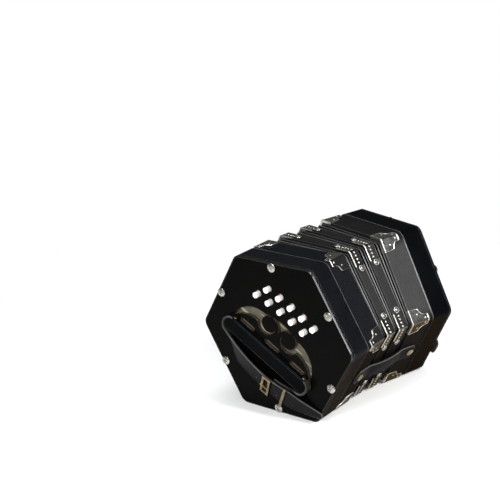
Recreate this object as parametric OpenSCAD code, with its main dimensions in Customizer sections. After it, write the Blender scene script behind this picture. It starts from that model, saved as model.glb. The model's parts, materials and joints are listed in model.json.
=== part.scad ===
// Hexagonal two-row concertina, lying on one side of its hexagon with its bellows slightly fanned.
// Millimetres. X runs from the left-hand end to the right-hand end, Z is up.

/* [Ends] */
// Distance across the flats of the hexagonal ends
across_flats = 160; // [154:1:172]
// Radius of the rounding down each corner of the boxes
corner_rounding = 9; // [6:0.5:11]
// Depth of each action box, from its seam to the end plate's outer face
box_depth = 27; // [26:0.5:31]
// Thickness of the end plate
plate_thickness = 3.5; // [3:0.25:4.5]
// Width of the bevel round the end plate's outer edge
plate_bevel = 1.4; // [0.6:0.2:2]
// Thickness of the action box's side walls
box_wall = 7; // [6:0.5:8]
// Thickness of the pad board that closes the bottom of the action box
pad_board_thickness = 4; // [3:0.5:5]
// Depth of each bellows frame, from its seam to the bellows
frame_depth = 28; // [25:0.5:32]
// Thickness of the bellows frame's walls
frame_wall = 8; // [7.5:0.5:9.5]
// How far the bellows frames stand in from the ends' flats, to clear their corner plates
frame_inset = 1; // [1:0.1:1.6]
// Play left all round a board that drops into a frame
board_play = 0.4; // [0.2:0.1:0.8]

/* [End bolts] */
// Distance from the edge of the end plate to each bolt's centre
bolt_inset = 5; // [4.6:0.1:5.4]
// Diameter of the bolt's shank
bolt_diameter = 3; // [2.5:0.25:3.5]
// Diameter of the domed bolt head
bolt_head_diameter = 9; // [7:0.5:9]
// Height of the domed bolt head
bolt_head_height = 2.4; // [1.8:0.2:3]
// Length of bolt that goes into the bellows frame
bolt_grip = 16; // [12:1:20]

/* [Fretwork] */
// Size of the cut pattern against its drawn size
fret_scale = 1; // [0.94:0.01:1.02]
// Distance from the middle of the plate to the centre of each round island
island_offset = 13.3; // [12.8:0.1:13.8]
// Radius of each round island
island_radius = 9; // [8.4:0.1:9.4]
// Width of the three short slots beside the hand rest
slot_width = 4.4; // [3:0.2:4.8]
// Length of the three short slots, over their round ends
slot_length = 19; // [14:0.5:20]
// Thickness of the cloth lining behind the fretwork
lining_thickness = 0.6; // [0.4:0.1:1]

/* [Keys] */
// Distance between neighbouring buttons in a row
key_pitch = 15.4; // [15:0.1:15.8]
// Distance from the plate's middle to the outer row of buttons
outer_row = 44; // [43:0.25:46]
// Distance between the outer row and the inner row
row_spacing = 12.1; // [11:0.1:13]
// How far each row bends back one pitch away from the middle
row_bow = 0.5; // [0:0.1:0.6]
// Diameter of a button
button_diameter = 6; // [5:0.25:6.5]
// How far a button stands above the plate
button_proud = 5; // [4:0.25:6]
// Gap left all round a button in its hole
button_gap = 1.4; // [1.2:0.1:1.6]
// Width of a lever
lever_width = 2; // [1.6:0.1:2.2]
// Height of a lever's bar
lever_height = 3; // [2.5:0.25:3.5]
// Height of the lever axle above the pad board's underside
axle_height = 14; // [13:0.25:15]
// Distance of the lever axle from the plate's middle, towards the hand rest
axle_offset = 4; // [2:0.5:6]
// Diameter of the lever axle
axle_diameter = 2; // [1.6:0.1:2.2]
// Radial play of a lever on its axle
axle_play = 0.06; // [0.02:0.01:0.1]
// Diameter of a pad
pad_diameter = 11; // [10:0.25:11.5]
// Diameter of a pad hole
pad_hole_diameter = 8; // [6:0.25:9]
// Thickness of a pad
pad_thickness = 3.2; // [2.5:0.1:4]
// Distance from the axle to the pads of the outer row
outer_pad_arm = 44; // [42:0.5:46]
// Distance from the axle to the pads of the inner row
inner_pad_arm = 24; // [22:0.5:26]
// Thickness of the spring wire
spring_wire = 0.7; // [0.5:0.05:0.8]

/* [Reeds] */
// Depth of a reed pan
pan_depth = 16; // [13:0.5:18]
// Thickness of the reed pan's floor
pan_floor = 3; // [2:0.5:4]
// Width of a reed chamber
chamber_width = 13; // [12:0.25:13.5]
// Thickness of a reed plate
reed_plate = 1.5; // [1:0.25:2]

/* [Air button] */
// Distance from the end box's flat to the air button
air_inset = 20; // [19:0.25:21]
// How far the air button goes down when it is pressed
air_travel = 3; // [2:0.25:4]
// Diameter of the air valve's disc
air_disc_diameter = 15; // [14:0.5:16]

/* [Hand rest and strap] */
// Length of the hand rest
rest_length = 110; // [100:1:112]
// Width of the hand rest
rest_width = 12; // [11:0.25:12.5]
// Height of the hand rest at its palm edge
rest_height = 9; // [8:0.5:12]
// Height of the hand rest at its button edge
rest_low_height = 5; // [4:0.5:6]
// Distance from the plate's middle to the hand rest's button edge
rest_offset = 12.8; // [12.6:0.1:13.2]
// Thickness of the hand strap
strap_thickness = 2.2; // [1.6:0.1:2.4]
// How far the strap's outer edge bows away from the hand rest
strap_bow = 9; // [8:0.5:14]
// Width of the strap seen square to the plate
strap_spread = 22; // [20:0.5:23]
// Height of the strap's outer edge above the plate
strap_lift = 12; // [11:0.5:15]
// How far the left strap's tail reaches beyond the flats
left_tail_over = 2; // [0:0.5:4]
// Row of the left tail's upper edge at its end, across from the plate's middle
left_tail_row = -31.5; // [-36:0.5:-29]
// Width of the left tail at its end
left_tail_width = 6.5; // [4:0.5:8]
// How far the right strap's tail reaches beyond the flats
right_tail_over = 6; // [0:0.5:7]
// Row of the right tail's upper edge at its end, across from the plate's middle
right_tail_row = -6; // [-20:0.5:-4]
// Width of the right tail at its end
right_tail_width = 14; // [8:0.5:16]

/* [Middle frames] */
// Thickness of each middle frame
mid_frame_thickness = 11.5; // [10:0.5:13]
// Depth of the middle frame's walls
mid_frame_wall = 9; // [8:0.5:11]
// How far the middle frames stand in from the ends' flats, to clear their corner strips
mid_frame_inset = 1.8; // [1.8:0.1:2.4]
// Thickness of the metal corner pieces
corner_metal = 0.6; // [0.4:0.1:0.8]
// How far the corner metal turns over the frames' edges
corner_flange = 2; // [1:0.1:2.2]
// Length of a corner plate's arm along each side of a bellows frame
corner_plate_arm = 14.5; // [12:0.5:16]
// Depth of a corner plate's arm, from the bellows
corner_plate_depth = 11.5; // [10:0.5:13]
// How far a corner plate reaches along the corner, from the bellows
corner_plate_reach = 22.5; // [20:0.5:24]
// Width of a corner plate at its far end
corner_plate_tip = 6.5; // [5:0.25:7]
// Radius of the scallop between a corner plate's arm and its tip
corner_scallop = 7.2; // [6:0.2:7.6]
// Length of a corner strip's arm on the middle frames, up to its washer
corner_strip_arm = 16.5; // [15:0.5:18]
// Number of beads on a corner strip's arm
corner_strip_beads = 4; // [3:1:5]
// Radius of the cup washer at the end of a corner strip's arm
strip_washer_radius = 3.4; // [3:0.1:3.8]

/* [Bellows] */
// Width of each of the three bellows gaps along the middle line
bellows_gap = 15.5; // [14.5:0.5:60]
// Total angle the bellows fan through
bellows_fan = 15.6; // [0:0.2:16]
// Number of folds in each section
folds = 3; // [2:1:4]
// Depth of the folds
fold_depth = 12; // [9:0.5:14]
// Thickness of a fold's wall across the bellows
fold_wall = 5; // [4:0.5:6]

/* [Bellows strap] */
// Width of the strap that holds the bellows shut
band_width = 18; // [14:1:20]
// Thickness of the strap that holds the bellows shut
band_thickness = 2; // [1.6:0.2:2.6]
// How far the strap bows away from the bellows between the two frames
band_slack = 3; // [1:0.25:4]
// Diameter of the strap's screw and snap
band_stud_diameter = 8; // [6:0.5:9]

/* [Hidden] */
// The piece to draw, or all of them

// Colours
lacquer = [0.03, 0.03, 0.035];
leather = [0.06, 0.06, 0.07];
nickel = [0.75, 0.74, 0.72];
brass = [0.66, 0.53, 0.3];
pale_wood = [0.72, 0.6, 0.42];
cloth = [0.55, 0.5, 0.4];
ivory = [0.92, 0.91, 0.87];

// Roundness of turned shapes, and the sides of the instrument
round_sides = 48;
sides = 6;
side_turn = 360 / sides;

// A small shared gap between pieces that must not touch, and an extra depth for clean cuts
gap = 0.3;
cut = 1;

// Hexagon
inradius = across_flats / 2;
corner_centre = (inradius - corner_rounding) / cos(side_turn / 2);
least_rounding = 0.5;
frame_inradius = inradius - frame_inset;
mid_inradius = inradius - mid_frame_inset;
// Every outline is rounded about the same six corner centres, until it is too small for that
function rounding_at(size) = corner_rounding - (inradius - size);
function corner_reach(size) = corner_centre + rounding_at(size);
// The rows of buttons run square to the line through two corners, so the hand parts turn by this much
hand_turn = -side_turn / 2;

// Stations along the bellows: each gap bends by a third of the fan
bend = bellows_fan / 6;
mid_near = [bellows_gap / 2, 0];
mid_far = mid_near + mid_frame_thickness * [cos(bend), -sin(bend)];
frame_near = mid_far + bellows_gap * [cos(2 * bend), -sin(2 * bend)];
seam = frame_near + frame_depth * [cos(3 * bend), -sin(3 * bend)];
// Half of the instrument's sideways spread, used to centre it on the row's origin
spread_plus = corner_reach(mid_inradius + corner_metal);
spread_minus = -seam[1] + (box_depth - plate_bevel) * sin(3 * bend) + corner_reach(inradius) * cos(3 * bend);
centre_shift = (spread_minus - spread_plus) / 2;

// Action box, measured from the seam (zero) outwards
plate_under = box_depth - plate_thickness;
boss_wall = 3;
boss_radius = bolt_diameter + boss_wall;
bolt_clearance = 0.1;
bolt_cross_share = 0.26;
bolt_cross_reach = bolt_head_diameter * bolt_cross_share;
bolt_cross_width = 1;
lever_top = axle_height + lever_height / 2;
lever_under = axle_height - lever_height / 2;
lever_overhang = 2;
stem_radius = lever_width * 0.7;
axle_radius = axle_diameter / 2;
hub_wall = 1.4;
hub_radius = max(axle_radius + hub_wall, lever_height / 2 + hub_wall / 2);
hub_shoulder = 0.4;
hub_width = lever_width + 2 * hub_shoulder;
pad_seat = 0.1;
pad_bottom = pad_board_thickness + pad_seat;
pad_top = pad_bottom + pad_thickness;
button_radius = button_diameter / 2;
button_hole_radius = button_radius + button_gap;
button_dome = 8;
keys_per_row = 5;
key_count = 2 * keys_per_row;
axle_line = -axle_offset;
lever_step = key_pitch / 2;

// Where each key sits: odd numbers in the outer row, even numbers in the inner row, in lever order
function key_side(k) = (k - (key_count - 2) / 2) * lever_step - lever_step;
function key_is_outer(k) = (k % 2) == 1;
function key_row(k) = (key_is_outer(k) ? outer_row : outer_row - row_spacing)
    - row_bow * pow(key_side(k) / key_pitch, 2);
function key_pad(k) = axle_line - (key_is_outer(k) ? outer_pad_arm : inner_pad_arm);

// Axle posts stand beside every second lever
post_thickness = 1.4;
post_width = 5;
post_play = 0.4;
post_side = lever_step - hub_width / 2 - post_play - post_thickness / 2;
rail_height = 2;
rail_margin = 2.5;
coil_play = 1.1;
coil_radius = axle_radius + coil_play;
coil_turns = 3;
coil_length = coil_turns * spring_wire;
coil_gap = 0.25;
coil_side = hub_width / 2 + coil_gap;
coil_sides = 16;
leg_share = 0.42;
leg_radius = spring_wire * leg_share;
spring_reach = 11;

// Reed pan
pan_inradius = frame_inradius - frame_wall - board_play;
// The outer chambers stop where the pan's sides close in on them
chamber_wall = 2;
chamber_limit = -pan_inradius / cos(side_turn / 2)
    + (2 * key_pitch + chamber_width / 2 + chamber_wall) * tan(side_turn / 2);
chamber_behind = 9;
chamber_before = 8;
inner_chamber_length = 40;
outer_chamber = [
    max(-outer_pad_arm - axle_offset - chamber_behind, chamber_limit),
    -outer_pad_arm - axle_offset + chamber_before
];
inner_chamber = [
    -inner_pad_arm - axle_offset - chamber_before,
    -inner_pad_arm - axle_offset - chamber_before + inner_chamber_length
];
function chamber_of(k) = key_is_outer(k) ? outer_chamber : inner_chamber;
reed_margin = 1;
reed_tongue_width = 2.4;
reed_tongue = 0.3;
reed_slot_width = reed_tongue_width + gap;
reed_slot_margin = 3;
reed_root = 1;
reed_tip_gap = 3.5;
rivet_radius = 1;
rivet_height = 1;

// Air valve
air_offset = inradius - air_inset;
air_hole_ring = 5;
air_hole_radius = 1.8;
air_holes = 6;
air_row = -2;
air_rod_radius = 1.5;
air_rod_play = 0.1;
air_collar = 2;
air_disc_radius = air_disc_diameter / 2;
air_disc_thickness = 2;
air_well_play = 1.5;
air_well_radius = air_disc_radius + air_well_play;
air_spring_radius = 2.7;
air_spring_turns = 5;
air_spring_play = 0.05;

// Fretwork, as centres and radii along the hand's own axes
horn_outer = [22, -15, 31];
horn_inner = [26, -27, 30];
horn_window = [17, -20, 40];
island_row = 9;
crescent_shift = [2.2, -2];
crescent_width = 2;
arch = [0, -20, 40.5];
arch_window = [30, 8, 14];
scoop = [13, 5, 13.4];
slot_side = 34;
slot_row = -9.4;
lining_margin = 3;
lining_length = 2 * (horn_outer[0] + horn_outer[2] + lining_margin);
lining_low = slot_row - slot_width;
lining_high = arch[1] + arch[2] + lining_margin;

// Hand rest and its strap
rest_back = rest_offset + rest_width;
rest_flat = 0.4;
rest_end_radius = (rest_width - rest_flat) / 2;
rest_mid = -(rest_offset + rest_width / 2);
rest_chamfer = 1;
wrap_radius = rest_width / 2 + gap + strap_thickness / 2;
wrap_side = rest_length / 2 - rest_width / 2;
wrap_steps = 6;
strap_float = 0.2;
strap_low = strap_thickness / 2 + gap + strap_float;
strap_edge = 1;
strap_over_high = 1.5;
strap_outer_top = rest_height + strap_over_high;
strap_over_low = 2;
strap_inner_top = rest_low_height + strap_over_low;
strap_pull = 4;
swell_share = 0.72;
settle_rate = 3.2;
tuck_rate = 2.5;
tail_taper = 1.6;
left_tail = [inradius + left_tail_over, left_tail_row, left_tail_width];
right_tail = [inradius + right_tail_over, right_tail_row, right_tail_width];
buckle_side = 16.5;
buckle_length = 10.5;
buckle_wire = 2.4;
buckle_height = 1.8;
buckle_room = 3.2;
prong_width = 1.8;
prong_height = 1.2;
prong_length = buckle_length - 2 * gap;
keeper_side = 38;
keeper_width = 3;
keeper_height = 1.4;
strap_screw_radius = 1.8;
strap_screw_height = 1.2;
strap_screw_level = 4;

// Bellows
fold_rings = 2 * folds;
bellows_end_play = 0.1;
bellows_play = bellows_end_play / bellows_gap;
fold_peak = mid_inradius - corner_flange - gap;
gusset_rounding = 2;

// Corner metal
nail_radius = 0.9;
nail_height = 0.35;
nail_spots = [
    [corner_plate_arm * 0.57, corner_plate_depth * 0.78],
    [corner_plate_tip * 0.42, corner_plate_reach * 0.8]
];
bead_radius = 1.15;
bead_top_radius = 0.6;
bead_height = 0.5;
bead_start = 0.6;
bead_end = 0.5;
washer_lap = 0.4;
strip_washer_top = 0.75;
scallop_drop = 2.5;
scallop_centre = [corner_plate_tip + corner_scallop - washer_lap, corner_plate_reach - scallop_drop];
strip_washer_height = 1.2;
strip_screw_radius = 1.7;
strip_screw_height = 1;
strip_slot_width = 0.5;

// ---------------------------------------------------------------- placing

module from_station(place, turn) {
    translate([-place[0], place[1] + centre_shift, inradius])
    rotate([0, 0, turn])
    rotate([90, 0, -90])
    children();
}

module left_end() {
    from_station(seam, 3 * bend)
    children();
}

module right_end() {
    mirror([1, 0, 0])
    left_end()
    children();
}

module mid_place(number) {
    mirror([number == 2 ? 1 : 0, 0, 0])
    from_station(mid_far, bend)
    children();
}

// Turns the drawing so x runs along the button rows and y from the hand rest to the buttons
module hand() {
    rotate([0, 0, hand_turn])
    children();
}

module on_sides() {
    for (i = [0 : sides - 1])
        rotate([0, 0, side_turn / 2 + i * side_turn])
        children();
}

module on_corners() {
    for (i = [0 : sides - 1])
        rotate([0, 0, i * side_turn])
        children();
}

// The points where a hexagon's flats meet its rounded corners
function tangent_points(size, rounding) = [
    for (i = [0 : sides - 1], edge = [-0.5, 0.5])
        (size - rounding) / cos(side_turn / 2) * [cos(i * side_turn), sin(i * side_turn)]
        + rounding * [cos((i + edge) * side_turn), sin((i + edge) * side_turn)]
];

module hexagon(size) {
    if (rounding_at(size) > least_rounding) {
        polygon(tangent_points(size, rounding_at(size)));
        on_corners()
        translate([corner_centre, 0])
        circle(r = rounding_at(size), $fn = round_sides);
    } else {
        circle(r = size / cos(side_turn / 2), $fn = sides);
    }
}

module hexagon_prism(size, low, high) {
    translate([0, 0, low])
    linear_extrude(height = high - low)
    hexagon(size);
}

module rod(radius, length) {
    cylinder(r = radius, h = length, $fn = round_sides);
}

// ---------------------------------------------------------------- end plate

// A round area, given by its centre and radius
module disc(spec) {
    translate([spec[0], spec[1]])
    circle(r = spec[2], $fn = round_sides);
}

module capsule(length, width) {
    for (i = [-1, 1])
        translate([i * (length - width) / 2, 0])
        circle(r = width / 2, $fn = round_sides);
    square([length - width, width], center = true);
}

// One horn with the crescent that curls round its island
module fret_horn() {
    difference() {
        union() {
            intersection() {
                difference() {
                    disc(horn_outer);
                    disc(horn_inner);
                }
                translate([horn_window[0], horn_window[1]])
                square(horn_window[2]);
            }
            disc([island_offset + crescent_shift[0], island_row + crescent_shift[1],
                island_radius + crescent_width]);
        }
        disc([island_offset, island_row, island_radius]);
    }
}

// The curved triangle between the islands
module fret_centre() {
    difference() {
        intersection() {
            disc(arch);
            translate([-arch_window[0] / 2, arch_window[1]])
            square([arch_window[0], arch_window[2]]);
        }
        for (i = [-1, 1])
            disc([i * scoop[0], scoop[1], scoop[2]]);
    }
}

module fret_pattern() {
    fret_horn();
    mirror([1, 0, 0])
    fret_horn();
    fret_centre();
    for (i = [-1, 0, 1])
        translate([i * slot_side, slot_row])
        capsule(slot_length, slot_width);
}

module end_plate(has_air) {
    color(lacquer)
    difference() {
        union() {
            hexagon_prism(inradius, plate_under, box_depth - plate_bevel);
            translate([0, 0, box_depth - plate_bevel])
            linear_extrude(height = plate_bevel, scale = 1 - plate_bevel / inradius)
            hexagon(inradius);
        }
        hand()
        translate([0, 0, plate_under - cut])
        linear_extrude(height = plate_thickness + 2 * cut)
        scale([fret_scale, fret_scale])
        fret_pattern();
        hand()
        for (k = [0 : key_count - 1])
            translate([key_side(k), key_row(k), plate_under - cut])
            rod(button_hole_radius, plate_thickness + 2 * cut);
        if (has_air)
            hand()
            translate([air_offset, air_row, plate_under - cut])
            rod(button_radius + gap, plate_thickness + 2 * cut);
        on_sides()
        translate([inradius - bolt_inset, 0, plate_under - cut])
        rod(bolt_diameter / 2 + gap, plate_thickness + 2 * cut);
    }
}

module fret_lining() {
    color(cloth)
    hand()
    translate([0, 0, plate_under - lining_thickness])
    linear_extrude(height = lining_thickness)
    translate([-lining_length / 2, lining_low])
    square([lining_length, lining_high - lining_low]);
}

// ---------------------------------------------------------------- action box

module action_box() {
    color(lacquer)
    difference() {
        union() {
            difference() {
                hexagon_prism(inradius, 0, plate_under);
                hexagon_prism(inradius - box_wall, -cut, plate_under + cut);
            }
            intersection() {
                hexagon_prism(inradius - box_wall / 2, 0, plate_under);
                on_sides()
                translate([inradius - bolt_inset, 0, 0])
                rod(boss_radius, plate_under);
            }
        }
        on_sides()
        translate([inradius - bolt_inset, 0, -cut])
        rod(bolt_diameter / 2 + gap, plate_under + 2 * cut);
    }
}

module pad_board(has_air) {
    color(pale_wood)
    difference() {
        hexagon_prism(inradius - box_wall - board_play, 0, pad_board_thickness);
        on_sides()
        translate([inradius - bolt_inset, 0, -cut])
        rod(boss_radius + board_play, pad_board_thickness + 2 * cut);
        hand()
        for (k = [0 : key_count - 1])
            translate([key_side(k), key_pad(k), -cut])
            rod(pad_hole_diameter / 2, pad_board_thickness + 2 * cut);
        if (has_air)
            hand()
            translate([air_offset, air_row, -cut]) {
                rod(air_rod_radius + air_rod_play, pad_board_thickness + 2 * cut);
                for (i = [0 : air_holes - 1])
                    rotate([0, 0, i * 360 / air_holes])
                    translate([air_hole_ring, 0, 0])
                    rod(air_hole_radius, pad_board_thickness + 2 * cut);
            }
    }
}

// ---------------------------------------------------------------- keys

module cross_rod(radius, from, to) {
    translate([from, 0, 0])
    rotate([0, 90, 0])
    rod(radius, to - from);
}

module lever_rack() {
    first = key_side(0) - lever_step + post_side - post_thickness / 2;
    last = key_side(key_count - 1) + post_side + post_thickness / 2;
    color(brass)
    hand()
    translate([0, axle_line, 0]) {
        translate([first - rail_margin, -post_width / 2, pad_board_thickness])
        cube([last - first + 2 * rail_margin, post_width, rail_height]);
        for (k = [-1 : 2 : key_count - 1])
            translate([key_side(k) + post_side - post_thickness / 2, -post_width / 2, pad_board_thickness])
            cube([post_thickness, post_width, axle_height + hub_radius - pad_board_thickness]);
        translate([0, 0, axle_height])
        cross_rod(axle_radius, first - cut, last + cut);
    }
}

module key(k) {
    hand()
    translate([key_side(k), 0, 0]) {
        // lever bar with its hub, bored for the axle
        color(brass)
        difference() {
            union() {
                translate([-lever_width / 2, key_pad(k) - lever_overhang, lever_under])
                cube([lever_width, key_row(k) - key_pad(k) + 2 * lever_overhang, lever_height]);
                translate([0, axle_line, axle_height])
                cross_rod(hub_radius, -hub_width / 2, hub_width / 2);
            }
            translate([0, axle_line, axle_height])
            cross_rod(axle_radius + axle_play, -hub_width, hub_width);
        }
        // button on its peg
        color(ivory)
        translate([0, key_row(k), lever_top])
        intersection() {
            rod(button_radius, box_depth + button_proud - lever_top);
            translate([0, 0, box_depth + button_proud - lever_top - button_dome])
            union() {
                sphere(r = button_dome, $fn = round_sides);
                translate([0, 0, -box_depth])
                rod(button_dome, box_depth);
            }
        }
        // pad and its stem
        color(cloth)
        translate([0, key_pad(k), pad_bottom])
        rod(pad_diameter / 2, pad_thickness);
        color(brass)
        translate([0, key_pad(k), pad_top])
        rod(stem_radius, lever_under - pad_top);
    }
}

module coil(radius, wire) {
    rotate_extrude($fn = round_sides)
    translate([radius, 0])
    circle(r = wire / 2, $fn = coil_sides);
}

// The closely wound turns are one short sleeve
module key_springs() {
    foot = pad_board_thickness + rail_height;
    color(brass)
    hand()
    for (k = [0 : key_count - 1])
        translate([key_side(k) + coil_side, axle_line, axle_height]) {
            difference() {
                cross_rod(coil_radius + spring_wire / 2, 0, coil_length);
                cross_rod(coil_radius - spring_wire / 2, -cut, coil_length + cut);
            }
            // leg that stands on the rack's rail
            translate([coil_length - spring_wire / 2, coil_radius, foot - axle_height])
            rod(leg_radius, axle_height - foot);
            // leg that holds the lever's pad end down
            translate([spring_wire / 2, 0, coil_radius])
            rotate([90, 0, 0])
            rod(leg_radius, spring_reach);
            translate([0, -spring_reach, coil_radius])
            cross_rod(spring_wire / 2, -coil_side - lever_width / 2, spring_wire);
        }
}

// ---------------------------------------------------------------- reeds

module reed_pan(has_air) {
    color(pale_wood)
    difference() {
        hexagon_prism(pan_inradius, -pan_depth, 0);
        hand()
        for (k = [0 : key_count - 1]) {
            span = chamber_of(k);
            translate([key_side(k) - chamber_width / 2, span[0], -pan_depth + pan_floor])
            cube([chamber_width, span[1] - span[0], pan_depth]);
            translate([key_side(k) - chamber_width / 2 + 2 * reed_margin, span[0] + 2 * reed_margin,
                -pan_depth - cut])
            cube([chamber_width - 4 * reed_margin, span[1] - span[0] - 4 * reed_margin, pan_floor + 2 * cut]);
        }
        if (has_air)
            hand()
            translate([air_offset, air_row, -pan_depth - cut])
            rod(air_well_radius, pan_depth + 2 * cut);
    }
}

module reed(width, length) {
    difference() {
        translate([-width / 2, 0, -reed_plate])
        cube([width, length, reed_plate]);
        for (i = [-1, 1])
            translate([i * width / 4 - reed_slot_width / 2, reed_slot_margin, -reed_plate - cut])
            cube([reed_slot_width, length - 2 * reed_slot_margin, reed_plate + 2 * cut]);
    }
    for (i = [-1, 1])
        translate([i * width / 4, 0, -reed_plate - reed_tongue]) {
            translate([-reed_tongue_width / 2, reed_root, 0])
            cube([reed_tongue_width, length - reed_root - reed_tip_gap, reed_tongue]);
            translate([0, reed_root + rivet_radius, -rivet_height])
            rod(rivet_radius, rivet_height);
        }
}

module reeds() {
    color(brass)
    hand()
    for (k = [0 : key_count - 1]) {
        span = chamber_of(k);
        translate([key_side(k), span[0] + reed_margin, -pan_depth])
        reed(chamber_width - 2 * reed_margin, span[1] - span[0] - 2 * reed_margin);
    }
}

// ---------------------------------------------------------------- frames and corners

module bellows_frame() {
    color(leather)
    difference() {
        hexagon_prism(frame_inradius, -frame_depth, 0);
        hexagon_prism(frame_inradius - frame_wall, -frame_depth - cut, cut);
        on_sides()
        translate([inradius - bolt_inset, 0, -bolt_grip - cut])
        rod(bolt_diameter / 2 + bolt_clearance, bolt_grip + 2 * cut);
    }
}

// Places its children at a distance along both sides of every corner: y runs outwards along the
// instrument and z stands on the side
module along_corner_arms(size, distance, level) {
    on_corners()
    for (side = [0, 1])
        mirror([0, side, 0])
        translate([size / cos(side_turn / 2), 0, level])
        rotate([0, 0, 180 - side_turn])
        translate([distance, 0, 0])
        rotate([90, 0, 0])
        children();
}

// The same for small pieces, which stand square to the rounding where they are on it
module round_corner_arms(size, distance, level) {
    rounding = rounding_at(size);
    rounding_end = rounding * tan(side_turn / 2);
    if (distance > rounding_end) {
        along_corner_arms(size, distance, level)
        children();
    } else {
        on_corners()
        for (side = [0, 1])
            mirror([0, side, 0])
            translate([corner_centre, 0, level])
            rotate([0, 0, side_turn / 2 * distance / rounding_end])
            translate([rounding, 0, 0])
            rotate([90, 0, 90])
            children();
    }
}

// Thin metal round a frame, turned over its edges; the child is the frame's own block
module turned_skin(size, low, high) {
    difference() {
        hexagon_prism(size + corner_metal, low, high);
        hexagon_prism(size - corner_flange, low - cut, high + cut);
        children();
    }
}

module corner_plate_outline() {
    difference() {
        polygon([
            [-cut, -cut], [corner_plate_arm, -cut], [corner_plate_arm - cut, corner_plate_depth],
            [corner_plate_tip, corner_plate_reach], [-cut, corner_plate_reach]
        ]);
        disc([scallop_centre[0], scallop_centre[1], corner_scallop]);
    }
}

module corner_plates() {
    depth = 2 * (corner_flange + cut);
    color(nickel)
    intersection() {
        turned_skin(frame_inradius, -frame_depth - corner_metal, -frame_depth + corner_plate_reach)
        hexagon_prism(frame_inradius, -frame_depth, cut);
        along_corner_arms(frame_inradius, 0, -frame_depth)
        translate([0, 0, -depth])
        linear_extrude(height = 2 * depth)
        corner_plate_outline();
    }
    color(nickel)
    for (spot = nail_spots)
        round_corner_arms(frame_inradius, spot[0], -frame_depth + spot[1])
        translate([0, 0, corner_metal / 2])
        rod(nail_radius, corner_metal / 2 + nail_height);
}

module end_bolts() {
    color(nickel)
    on_sides()
    translate([inradius - bolt_inset, 0, 0]) {
        translate([0, 0, -bolt_grip])
        rod(bolt_diameter / 2, bolt_grip + box_depth);
        translate([0, 0, box_depth])
        difference() {
            intersection() {
                rod(bolt_head_diameter / 2, bolt_head_height);
                translate([0, 0, bolt_head_height - bolt_head_diameter])
                sphere(r = bolt_head_diameter, $fn = round_sides);
            }
            for (i = [0, 1])
                rotate([0, 0, 45 + 90 * i])
                translate([-bolt_cross_reach, -bolt_cross_width / 2, bolt_head_height / 2])
                cube([2 * bolt_cross_reach, bolt_cross_width, bolt_head_height]);
        }
    }
}

module mid_frame() {
    color(leather)
    difference() {
        hexagon_prism(mid_inradius, -mid_frame_thickness, 0);
        hexagon_prism(mid_inradius - mid_frame_wall, -mid_frame_thickness - cut, cut);
    }
}

// A cup washer with its slotted screw
module strip_washer() {
    difference() {
        cylinder(r1 = strip_washer_radius, r2 = strip_washer_radius * strip_washer_top, h = strip_washer_height,
            $fn = round_sides);
        translate([0, 0, strip_washer_height / 2])
        rod(strip_screw_radius + gap, strip_washer_height);
    }
    difference() {
        rod(strip_screw_radius, strip_screw_height);
        translate([-strip_screw_radius - cut, -strip_slot_width / 2, strip_screw_height / 2])
        cube([2 * (strip_screw_radius + cut), strip_slot_width, strip_screw_height]);
    }
}

module mid_corner_strips() {
    depth = 2 * (corner_flange + cut);
    bead_step = corner_strip_arm / (corner_strip_beads + bead_end);
    color(nickel)
    intersection() {
        turned_skin(mid_inradius, -mid_frame_thickness - corner_metal, corner_metal)
        hexagon_prism(mid_inradius, -mid_frame_thickness, 0);
        along_corner_arms(mid_inradius, 0, -mid_frame_thickness / 2)
        translate([-cut, -mid_frame_thickness, -depth])
        cube([corner_strip_arm + cut, 2 * mid_frame_thickness, 2 * depth]);
    }
    color(nickel)
    for (i = [0 : corner_strip_beads - 1])
        round_corner_arms(mid_inradius, (i + bead_start) * bead_step, -mid_frame_thickness / 2)
        translate([0, 0, corner_metal / 2])
        cylinder(r1 = bead_radius, r2 = bead_top_radius, h = corner_metal / 2 + bead_height,
            $fn = round_sides);
    color(nickel)
    along_corner_arms(mid_inradius, corner_strip_arm + strip_washer_radius - washer_lap,
        -mid_frame_thickness / 2)
    strip_washer();
}

// ---------------------------------------------------------------- hand rest and straps

module hand_rest() {
    color(lacquer)
    hand()
    translate([0, 0, box_depth])
    intersection() {
        translate([-rest_length / 2, 0, 0])
        rotate([90, 0, 90])
        linear_extrude(height = rest_length)
        polygon([
            [-rest_back, 0], [-rest_offset, 0], [-rest_offset, rest_low_height - rest_chamfer],
            [-rest_offset - rest_chamfer, rest_low_height],
            [-rest_back + rest_chamfer, rest_height], [-rest_back, rest_height - rest_chamfer]
        ]);
        translate([0, rest_mid, 0])
        linear_extrude(height = rest_height)
        union() {
            square([rest_length - 2 * rest_end_radius, rest_width], center = true);
            square([rest_length, rest_width - 2 * rest_end_radius], center = true);
            for (i = [-1, 1], j = [-1, 1])
                translate([i * (rest_length / 2 - rest_end_radius), j * (rest_width / 2 - rest_end_radius)])
                circle(r = rest_end_radius, $fn = round_sides);
        }
    }
}

function unit(v) = v / norm(v);
function mix(a, b, t) = a * (1 - t) + b * t;

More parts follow.
